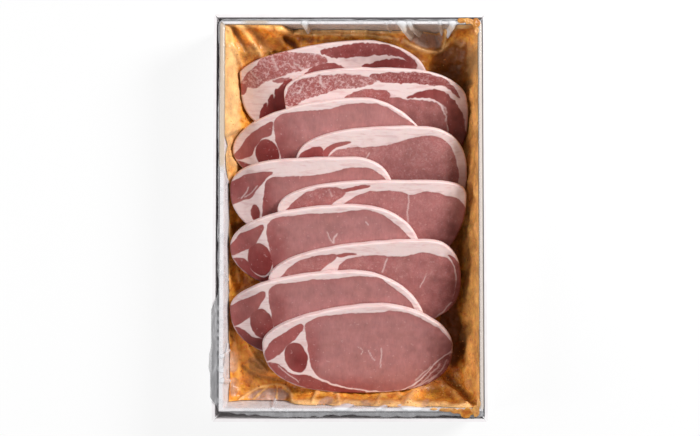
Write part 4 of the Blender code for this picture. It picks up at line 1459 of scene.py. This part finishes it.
def make_paste_finish(looks):
    """Fermented soybean paste, smeared by hand: wet, grainy amber, paler where the white board shines through and where
    light is painted on, brighter in pools of painted light, and darker with painted shade.
    """
    material, tree, shader, place = new_finish("soybean marinade paste")
    thin_and_lit = add_node(tree, "ShaderNodeAttribute", attribute_name="thin_and_lit").outputs["Fac"]
    dark = add_node(tree, "ShaderNodeAttribute", attribute_name="dark").outputs["Fac"]
    bare = add_node(tree, "ShaderNodeAttribute", attribute_name="bare").outputs["Fac"]
    painted_light = add_node(tree, "ShaderNodeAttribute", attribute_name="painted_light").outputs["Fac"]

    # clouds 14 mm wide, smears 5 mm wide, grains 1.6 mm wide
    cloud = add_node(tree, "ShaderNodeTexNoise", {"Vector": place, "Scale": 70.0, "Detail": 4.0})
    smear = add_node(tree, "ShaderNodeTexNoise", {"Vector": place, "Scale": 200.0, "Detail": 4.0, "Distortion": 0.6})
    grain = add_node(tree, "ShaderNodeTexNoise", {"Vector": place, "Scale": 620.0, "Detail": 3.0})
    tone = add_node(
        tree,
        "ShaderNodeValToRGB",
        {"Fac": smear.outputs["Fac"]},
        stops=((0.28, looks.rust), (0.48, looks.thick), (0.66, looks.golden)),
    )
    # painted shade, mixed towards the deep colour
    darker = add_node(
        tree, "ShaderNodeMix", {0: dark, 6: tone.outputs[0], 7: opaque(looks.deep)}, data_type="RGBA"
    )
    # paler where the paste is thin and where light is painted on
    paler = add_node(
        tree, "ShaderNodeMix", {0: thin_and_lit, 6: darker.outputs[2], 7: opaque(looks.thin_and_lit)}, data_type="RGBA"
    )
    barer = add_node(
        tree, "ShaderNodeMix", {0: bare, 6: paler.outputs[2], 7: opaque(looks.bare)}, data_type="RGBA"
    )
    faint = add_node(tree, "ShaderNodeMath", {0: grain.outputs["Fac"], 1: 0.3}, operation="MULTIPLY")
    both = add_node(tree, "ShaderNodeMath", {0: cloud.outputs["Fac"], 1: faint.outputs[0]}, operation="ADD")
    bright = add_node(
        tree,
        "ShaderNodeMapRange",
        {"Value": both.outputs[0], "From Min": 0.47, "From Max": 0.83, "To Min": 0.72, "To Max": 1.34},
    )
    lit = add_node(
        tree, "ShaderNodeVectorMath", {0: barer.outputs[2], "Scale": bright.outputs[0]}, operation="SCALE"
    )
    rough = add_node(
        tree, "ShaderNodeMath", {0: smear.outputs["Fac"], 1: grain.outputs["Fac"]}, operation="ADD"
    )
    bump = add_node(tree, "ShaderNodeBump", {"Height": rough.outputs[0], "Strength": 0.6, "Distance": 0.0008})
    # painted light: the paste made brighter and warmer where the light falls
    painted_light_tint = add_node(
        tree, "ShaderNodeMix", {0: painted_light, 6: (1.0, 1.0, 1.0, 1.0), 7: (1.6, 1.36, 0.86, 1.0)}, data_type="RGBA"
    )
    with_painted_light = add_node(
        tree, "ShaderNodeVectorMath", {0: lit.outputs[0], 1: painted_light_tint.outputs[2]}, operation="MULTIPLY"
    )
    tree.links.new(with_painted_light.outputs[0], shader.inputs["Base Color"])
    tree.links.new(bump.outputs[0], shader.inputs["Normal"])
    duller = add_node(tree, "ShaderNodeMath", {0: dark, 1: 0.25, 2: 0.22}, operation="MULTIPLY_ADD")
    tree.links.new(duller.outputs[0], shader.inputs["Roughness"])
    shader.inputs["IOR"].default_value = 1.42
    shader.inputs["Subsurface Weight"].default_value = 0.1
    shader.inputs["Subsurface Radius"].default_value = (0.8, 0.4, 0.15)
    shader.inputs["Subsurface Scale"].default_value = 0.003
    return material


# ---------------------------------------------------------------- clear film


FILM_THICKNESS = 0.12
FILM_STANDOFF = 0.5
FILM_CORNER = 0.8
FILM_MARGIN = 13.0
FILM_MARGIN_WAVE = 2.5
FLAP_MARGIN = 34.0
FLAP_BULGE = 3.7
FLAP_BULGE_DROP = 13.0
FLAP_BACK_END = -58.0
FLAP_BACK_RAMP = 72.0
FLAP_FRONT_RAMP = 44.0
FLAP_ACROSS = 6.0
FILM_STEP = 1.1
FILM_WALL_ROWS = 24
FILM_MARGIN_ROWS = 14
SIDE_LIMIT = SOLID_BOX[0][0] / TO_METRES + 0.15
FILM_FOOT = 6.0


def well_line(inset, corner, step):
    """Places round the well from its front left corner, anticlockwise: x, y, the way in, the side, and along."""
    left, right = WELL_LEFT + inset, WELL_RIGHT - inset
    front, back = WELL_FRONT + inset, WELL_BACK - inset
    sides = (
        ("front", (left + corner, front), (right - corner, front), (0.0, 1.0), 0),
        ("right", (right, front + corner), (right, back - corner), (-1.0, 0.0), 1),
        ("back", (right - corner, back), (left + corner, back), (0.0, -1.0), 0),
        ("left", (left, back - corner), (left, front + corner), (1.0, 0.0), 1),
    )
    rows = []
    for k, (name, start, end, inward, axis) in enumerate(sides):
        length = math.dist(start, end)
        count = max(int(length / step), 2)
        for share in np.linspace(0.0, 1.0, count, endpoint=False):
            x = start[0] + (end[0] - start[0]) * share
            y = start[1] + (end[1] - start[1]) * share
            rows.append((x, y, *inward, k, (x, y)[axis]))
        turns = max(int(corner * math.pi / 2 / step), 3)
        middle = (end[0] + inward[0] * corner, end[1] + inward[1] * corner)
        begin = math.atan2(-inward[1], -inward[0])
        for share in np.linspace(0.0, 1.0, turns, endpoint=False):
            angle = begin + math.pi / 2 * share
            x, y = middle[0] + corner * math.cos(angle), middle[1] + corner * math.sin(angle)
            side = k if share < 0.5 else (k + 1) % 4
            rows.append((x, y, -math.cos(angle), -math.sin(angle), side, (x, y)[side % 2]))
    return np.array(rows)


def film_margin(x, y, on_left, on_front):
    """How long the film's margin is at places round the well, and where it is the flap that hangs outside."""
    reach = (FLAP_BACK_END - y) / FLAP_BACK_RAMP
    is_flap = on_left & (reach > 0)
    flap_reach = np.minimum(reach, (y - WELL_FRONT) / FLAP_FRONT_RAMP)
    hanging = FLAP_MARGIN - FLAP_ACROSS - 0.4
    flap = 0.4 + FLAP_ACROSS * smooth_step(flap_reach * 4) + hanging * smooth_step(flap_reach * 2 - 1)
    margin = FILM_MARGIN + FILM_MARGIN_WAVE * np.sin(x / 9.0 + y / 13.0)
    margin = np.where(on_left, 0.4 + (margin - 0.4) * smooth_step(-reach * 2.0), margin)
    margin = np.where(on_front, 0.4 + (margin - 0.4) * smooth_step((x - WELL_LEFT) / 24.0), margin)
    return np.where(is_flap, flap, margin), is_flap


def film_path(run, is_flap, slot, fill):
    """Where the film is, out from the inner wall's outer face and up, this far past its turn over the wall."""
    top = TRAY_HEIGHT + FILM_STANDOFF + 0.1
    across = SLOT_LEFT + OUTER_BOARD + 0.9 - FILM_STANDOFF
    fall = np.maximum(run - across, 0.0)
    bow = FLAP_BULGE * smooth_step(fall / FLAP_BULGE_DROP) * (1.0 - 0.4 * fall / FLAP_MARGIN)
    flap_out = FILM_STANDOFF + np.minimum(run, across) + bow
    flap_up = top + 0.5 * smooth_step(run / across) - fall
    tuck_out = FILM_STANDOFF + np.maximum(slot - 1.4, 0.0) * fill * smooth_step((run - 0.8) / 6.0)
    tuck_up = top - 0.25 * np.minimum(run, 6.0) - 0.85 * np.maximum(run - 6.0, 0.0)
    return np.where(is_flap, flap_out, tuck_out), np.where(is_flap, flap_up, tuck_up)


class Fold(NamedTuple):
    """A fold that stands off a wall: the wall, where it is along it at the rim and at its foot, how high that
    foot is, how far it stands off at both, its width, and how white it glints."""

    side: int
    along: tuple
    foot: float
    off: tuple
    width: float
    white: float


FRONT, RIGHT, BACK, LEFT = 0, 1, 2, 3
FOLDS = (
    Fold(BACK, (40, 50), 26, (5.0, 9.0), 2.8, 2.4),
    Fold(BACK, (46, 57), 24, (3.4, 6.0), 1.6, 1.2),
    Fold(BACK, (-36, -34), 36, (3.2, 4.4), 1.8, 2.0),
    Fold(BACK, (28, 32), 30, (0.5, 2.0), 1.4, 0.5),
    Fold(BACK, (80, 78), 30, (4.2, 6.6), 2.0, 2.2),
    Fold(BACK, (70, 74), 24, (0.5, 3.6), 1.5, 0.7),
    Fold(FRONT, (-8, -3), 38, (0.4, 1.6), 6.0, 1.2),
    Fold(FRONT, (22, 30), 34, (0.4, 1.6), 3.0, 0.7),
    Fold(FRONT, (48, 40), 40, (0.4, 1.4), 7.0, 1.2),
    Fold(FRONT, (-60, -61), 16, (0.6, 3.0), 1.4, 0.6),
    Fold(LEFT, (-119, -101), 30, (0.3, 1.6), 1.3, 1.3),
    Fold(LEFT, (-127, -131), 22, (0.4, 2.6), 1.5, 1.4),
    Fold(LEFT, (-108, -107), 20, (0.6, 2.0), 1.2, 1.2),
    Fold(LEFT, (36, 28), 34, (0.3, 1.6), 2.0, 0.4),
    Fold(LEFT, (-44, -50), 32, (0.3, 1.6), 2.0, 0.3),
)


def make_film(looks):
    """The liner: up the walls, over the inner wall and into its slot, with one corner hanging outside."""
    line = well_line(FILM_STANDOFF, FILM_CORNER, FILM_STEP)
    x, y, in_x, in_y, side, along = line.T
    run = np.cumsum(np.hypot(np.diff(x, append=x[:1]), np.diff(y, append=y[:1])))
    top = TRAY_HEIGHT + FILM_STANDOFF + 0.1
    v = np.linspace(0.0, 1.0, FILM_WALL_ROWS)[:, None]
    z = FILM_FOOT + (top - FILM_FOOT) * v + x * 0
    reach = np.zeros(len(line))
    for number, name in enumerate(WALL_PASTE):
        on = side == number
        reach[on] = paste_reach(name, along[on])[0]
    bare = smooth_step((z - reach) / 4.0)
    crease_glare = 0.6 * lumps(run + z * 0, z * 0.4, 6.0, 21) + 0.4 * lumps(run + z * 0.6, z, 3.2, 22)
    out = np.clip(looks.crumple * crease_glare, -0.25, 1.0) * smooth_step((1 - v) * 3) * bare
    out = np.where(bare < 0.5, np.minimum(out, 0.0), out)
    # painted glare: creases and folds show whiter and more opaque
    glint = np.abs(crease_glare) * 0.7
    for fold in FOLDS:
        up = np.clip((z - fold.foot) / (top - fold.foot), 0.0, 1.0)
        middle = fold.along[1] + (fold.along[0] - fold.along[1]) * up
        off = fold.off[1] + (fold.off[0] - fold.off[1]) * up
        over = np.exp(-(((along + z * 0 - middle) / fold.width) ** 2)) * (side == fold.side)
        over = over * smooth_step((z - fold.foot + 5.0) / 5.0)
        out = out + off * over * smooth_step((1 - v) * 12)
        glint = np.maximum(glint, fold.white * over * 2.2)
    wall = np.stack((x + in_x * out, y + in_y * out, z), -1)
    margin, is_flap = film_margin(x, y, side == LEFT, side == FRONT)
    share = np.linspace(0.0, 1.0, FILM_MARGIN_ROWS)[:, None]
    length = margin * share
    slot = np.choose(side.astype(int), (SLOT_FRONT, SLOT_RIGHT, SLOT_BACK, SLOT_LEFT))
    usual = np.choose(side.astype(int), (0.75, 0.6, 0.95, 0.75))
    fill = usual + 0.35 * lumps(run, run * 0, 14.0, 25) + 0.2 * lumps(run, run * 0, 5.0, 26)
    fill = np.clip(fill, 0.1, 1.0)
    away, height = film_path(length, is_flap, slot, fill)
    board = INNER_BOARD + (INNER_BOARD_LEFT - INNER_BOARD) * np.maximum(in_x, 0.0) + FILM_STANDOFF
    foot_x, foot_y = x - in_x * board, y - in_y * board
    wobble = lumps(run + share * 0, length * 0.3, 5.0, 23) + 0.5 * lumps(run + length, length, 2.6, 24)
    moved = looks.crumple * wobble
    calm = looks.crumple * lumps(run + length * 0.2, length * 0.15, 17.0, 27)
    away = away + np.where(is_flap, 1.3 * calm * smooth_step(length / 9.0), 0.12 * moved * share)
    away = np.minimum(away, foot_x * np.maximum(in_x, 0.0) - SIDE_LIMIT + 1e3 * (in_x < 0.5))
    hang = np.stack((foot_x - in_x * away, foot_y - in_y * away, height + 0 * away), -1)
    points = np.vstack((wall.reshape(-1, 3), hang.reshape(-1, 3)))
    rows = FILM_WALL_ROWS + FILM_MARGIN_ROWS
    obj = piece_from("film_sheet", points, grid_faces(rows, len(line), wrap=True).tolist())
    outside = smooth_step((length - 0.6) / 1.6)
    # painted grey shade and reflection on the slot and flap margins
    grey = np.where(is_flap, 0.85, 0.5) * outside
    traces = bare * smooth_step((side == BACK) * 1.0) * 0.55 * smooth_step((54.0 - z) / 6.0)
    yellow = np.where(side == LEFT, smooth_step((y - 34.0) / 8.0), 0.0)
    yellow = np.maximum(yellow, 0.7 * (side == RIGHT))
    yellow = np.maximum(yellow, (side == BACK) * 0.9 * smooth_step((-64.0 - np.abs(x + 74.0) + 78.0) / 8.0))
    over_rim = yellow * (1.0 - smooth_step((length - 0.2) / 1.2)) * 0.7
    # painted glare on creases and folds, and painted grey on the hanging margins
    paint(obj, "crease_glare", np.concatenate((glint.ravel(), (0.5 * np.abs(wobble)).ravel())))
    paint(obj, "grey", np.concatenate((0 * z.ravel(), (grey + 0 * length).ravel())))
    residue = np.maximum(traces, yellow * smooth_step((v - 0.93) / 0.05) * 0.7)
    paint(obj, "residue", np.concatenate((residue.ravel(), over_rim.ravel())))
    thicken = obj.modifiers.new("film thickness", "SOLIDIFY")
    thicken.thickness = FILM_THICKNESS * TO_METRES
    thicken.offset = 0.0
    obj.data.materials.append(bpy.data.materials["clear polyethylene film"])
    settle(obj, "film", "film_liner")
    return obj


def make_film_finish(looks):
    """Polyethylene film: see-through and slippery, with painted white glare where it is creased, and painted grey shade
    and reflection where it hangs loose in folds.
    """
    material, tree, shader, place = new_finish("clear polyethylene film")
    crease_glare = add_node(tree, "ShaderNodeAttribute", attribute_name="crease_glare").outputs["Fac"]
    grey = add_node(tree, "ShaderNodeAttribute", attribute_name="grey").outputs["Fac"]
    residue = add_node(tree, "ShaderNodeAttribute", attribute_name="residue").outputs["Fac"]

    # painted streaks of shade and reflection 2 mm wide that run along the walls, and clouds 9 mm wide that break up the
    # painted glare
    along = add_node(tree, "ShaderNodeMapping", {"Vector": place, "Scale": (300.0, 70.0, 200.0)})
    streak = add_node(
        tree, "ShaderNodeTexNoise", {"Vector": along.outputs[0], "Scale": 1.0, "Detail": 4.0, "Distortion": 0.8}
    )
    cloud = add_node(tree, "ShaderNodeTexNoise", {"Vector": place, "Scale": 110.0, "Detail": 3.0})
    folds = add_node(
        tree,
        "ShaderNodeValToRGB",
        {"Fac": streak.outputs["Fac"]},
        stops=((0.3, looks.shade), (0.54, looks.grey), (0.86, looks.tint)),
    )
    # painted grey shade and reflection where the film hangs
    greyed = add_node(
        tree, "ShaderNodeMix", {0: grey, 6: opaque(looks.tint), 7: folds.outputs[0]}, data_type="RGBA"
    )
    smeared = add_node(
        tree, "ShaderNodeMix", {0: residue, 6: greyed.outputs[2], 7: opaque(looks.residue)}, data_type="RGBA"
    )
    both = add_node(tree, "ShaderNodeMath", {0: crease_glare, 1: cloud.outputs["Fac"]}, operation="MULTIPLY")
    clear = add_node(
        tree,
        "ShaderNodeMapRange",
        {"Value": both.outputs[0], "From Min": 0.1, "From Max": 0.7, "To Min": 0.1, "To Max": 0.94},
    )
    hung = add_node(tree, "ShaderNodeMath", {0: grey, 1: 0.85}, operation="MULTIPLY")
    dirty = add_node(tree, "ShaderNodeMath", {0: residue, 1: 0.6}, operation="MULTIPLY")
    more = add_node(tree, "ShaderNodeMath", {0: clear.outputs[0], 1: hung.outputs[0]}, operation="MAXIMUM")
    most = add_node(tree, "ShaderNodeMath", {0: more.outputs[0], 1: dirty.outputs[0]}, operation="MAXIMUM")
    tree.links.new(smeared.outputs[2], shader.inputs["Base Color"])
    tree.links.new(most.outputs[0], shader.inputs["Alpha"])
    shader.inputs["Roughness"].default_value = 0.12
    shader.inputs["IOR"].default_value = 1.5
    return material


# ---------------------------------------------------------------- carton


def make_board_finish(looks):
    """Coated white carton board: smooth, a little cool, with a faint cloudiness from the pulp."""
    material, tree, shader, place = new_finish("coated carton board")

    # pulp clouds 7 mm wide
    pulp = add_node(tree, "ShaderNodeTexNoise", {"Vector": place, "Scale": 140.0, "Detail": 3.0})
    bright = add_node(
        tree,
        "ShaderNodeMapRange",
        {"Value": pulp.outputs["Fac"], "From Min": 0.3, "From Max": 0.7, "To Min": 0.94, "To Max": 1.0},
    )
    lit = add_node(
        tree, "ShaderNodeVectorMath", {0: looks.board, "Scale": bright.outputs[0]}, operation="SCALE"
    )
    tree.links.new(lit.outputs[0], shader.inputs["Base Color"])
    shader.inputs["Roughness"].default_value = 0.5
    return material


# ---------------------------------------------------------------- operators


class OBJECT_OT_carton(bpy.types.Operator):
    """Give the carton its coated board."""

    bl_idname = "meat_tray.carton"
    bl_label = "Carton tray"

    def execute(self, context):
        finish = make_board_finish(context.scene.carton_looks)
        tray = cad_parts["carton_tray"]
        tray.data.materials.clear()
        tray.data.materials.append(finish)
        return {"FINISHED"}


class OBJECT_OT_pork(bpy.types.Operator):
    """Make the ten pork slices with their muscles and fat."""

    bl_idname = "meat_tray.pork"
    bl_label = "Pork slices"

    def execute(self, context):
        looks = context.scene.pork_looks
        make_pork_finish(looks)
        for index in range(len(SLICES)):
            make_slice(index, looks)
        return {"FINISHED"}


class OBJECT_OT_paste(bpy.types.Operator):
    """Make the paste bed and its smears on the rim."""

    bl_idname = "meat_tray.paste"
    bl_label = "Marinade paste"

    def execute(self, context):
        looks = context.scene.paste_looks
        make_paste_finish(looks)
        make_paste_bed(looks)
        make_paste_smears(looks)
        return {"FINISHED"}


class OBJECT_OT_grains(bpy.types.Operator):
    """Strew the grains that stand out of the paste."""

    bl_idname = "meat_tray.grains"
    bl_label = "Paste grains"

    def execute(self, context):
        looks = context.scene.paste_looks
        make_grain_finish(looks)
        make_paste_grains(looks)
        return {"FINISHED"}


class OBJECT_OT_film(bpy.types.Operator):
    """Make the clear film liner with its creases."""

    bl_idname = "meat_tray.film"
    bl_label = "Film liner"

    def execute(self, context):
        looks = context.scene.film_looks
        make_film_finish(looks)
        make_film(looks)
        return {"FINISHED"}


CAMERA_AIM = (-0.6, -0.65, 29.0)
CAMERA_LENS = 51.46
SENSOR_WIDTH = 36.0
FLOOR_SIZE = 8.0
KEY_FROM = (1.0, 0.62, 0.82)
KEY_SIZE = 0.5
SIDE_FROM = (-1.2, -0.1, 0.6)
SIDE_SIZE = 0.9
FLOOR_GLOW = 0.86


class OBJECT_OT_stage(bpy.types.Operator):
    """Set the floor, the soft light and the camera."""

    bl_idname = "meat_tray.stage"
    bl_label = "Stage"

    def execute(self, context):
        looks = context.scene.stage_looks
        material, _, shader, _ = new_finish("matte white paper")
        shader.inputs["Base Color"].default_value = opaque(tuple(c * (1 - FLOOR_GLOW) for c in looks.floor))
        shader.inputs["Emission Color"].default_value = opaque(looks.floor)
        shader.inputs["Emission Strength"].default_value = FLOOR_GLOW
        shader.inputs["Roughness"].default_value = 0.9
        bpy.ops.mesh.primitive_plane_add(size=FLOOR_SIZE)
        floor = context.object
        floor.name = "floor"
        floor.data.materials.append(material)

        world = bpy.data.worlds.new("soft room light")
        world.use_nodes = True
        world.node_tree.nodes["Background"].inputs["Color"].default_value = (1.0, 1.0, 1.0, 1.0)
        world.node_tree.nodes["Background"].inputs["Strength"].default_value = looks.fill
        context.scene.world = world

        lamps = (
            ("key", looks.key_power, KEY_SIZE, KEY_FROM),
            ("side", looks.side_power, SIDE_SIZE, SIDE_FROM),
        )
        for name, power, size, start in lamps:
            light = bpy.data.lights.new(name, "AREA")
            light.energy = power
            light.size = size
            lamp = bpy.data.objects.new(name, light)
            lamp.location = start
            lamp.rotation_euler = (-lamp.location).to_track_quat("-Z", "Y").to_euler()
            context.scene.collection.objects.link(lamp)

        lens = bpy.data.cameras.new("camera")
        lens.lens = CAMERA_LENS
        lens.sensor_width = SENSOR_WIDTH
        camera = bpy.data.objects.new("camera", lens)
        context.scene.collection.objects.link(camera)
        back = (0.0, -math.cos(looks.camera_elevation), math.sin(looks.camera_elevation))
        for axis in range(3):
            camera.location[axis] = CAMERA_AIM[axis] * TO_METRES + back[axis] * looks.camera_height
        camera.rotation_euler = (math.pi / 2 - looks.camera_elevation, 0.0, 0.0)
        context.scene.camera = camera

        # plain tone, so that white paper stays white
        context.scene.view_settings.view_transform = "Standard"
        return {"FINISHED"}


class VIEW3D_PT_meat_tray(bpy.types.Panel):
    """Shows the tray's settings and the buttons that make its pieces."""

    bl_label = "Meat tray"
    bl_space_type = "VIEW_3D"
    bl_region_type = "UI"
    bl_category = "Meat tray"

    def draw(self, context):
        for looks in LOOKS:
            group = getattr(context.scene, looks)
            column = self.layout.column()
            for name in group.bl_rna.properties.keys():
                if name not in ("rna_type", "name"):
                    column.prop(group, name)
        for operator in OPERATORS:
            self.layout.operator(operator.bl_idname)


LOOKS = {
    "carton_looks": CartonLooks,
    "pork_looks": PorkLooks,
    "paste_looks": PasteLooks,
    "film_looks": FilmLooks,
    "stage_looks": StageLooks,
}
OPERATORS = (
    OBJECT_OT_carton,
    OBJECT_OT_pork,
    OBJECT_OT_paste,
    OBJECT_OT_grains,
    OBJECT_OT_film,
    OBJECT_OT_stage,
)


def register():
    for group in LOOKS.values():
        bpy.utils.register_class(group)
    for operator in OPERATORS:
        bpy.utils.register_class(operator)
    bpy.utils.register_class(VIEW3D_PT_meat_tray)
    for name, group in LOOKS.items():
        setattr(bpy.types.Scene, name, bpy.props.PointerProperty(type=group))


def unregister():
    for name in LOOKS:
        delattr(bpy.types.Scene, name)
    bpy.utils.unregister_class(VIEW3D_PT_meat_tray)
    for operator in reversed(OPERATORS):
        bpy.utils.unregister_class(operator)
    for group in reversed(LOOKS.values()):
        bpy.utils.unregister_class(group)


def main():
    register()
    bpy.ops.meat_tray.carton()
    bpy.ops.meat_tray.pork()
    bpy.ops.meat_tray.paste()
    bpy.ops.meat_tray.grains()
    bpy.ops.meat_tray.film()
    bpy.ops.meat_tray.stage()


if __name__ == "__main__":
    main()
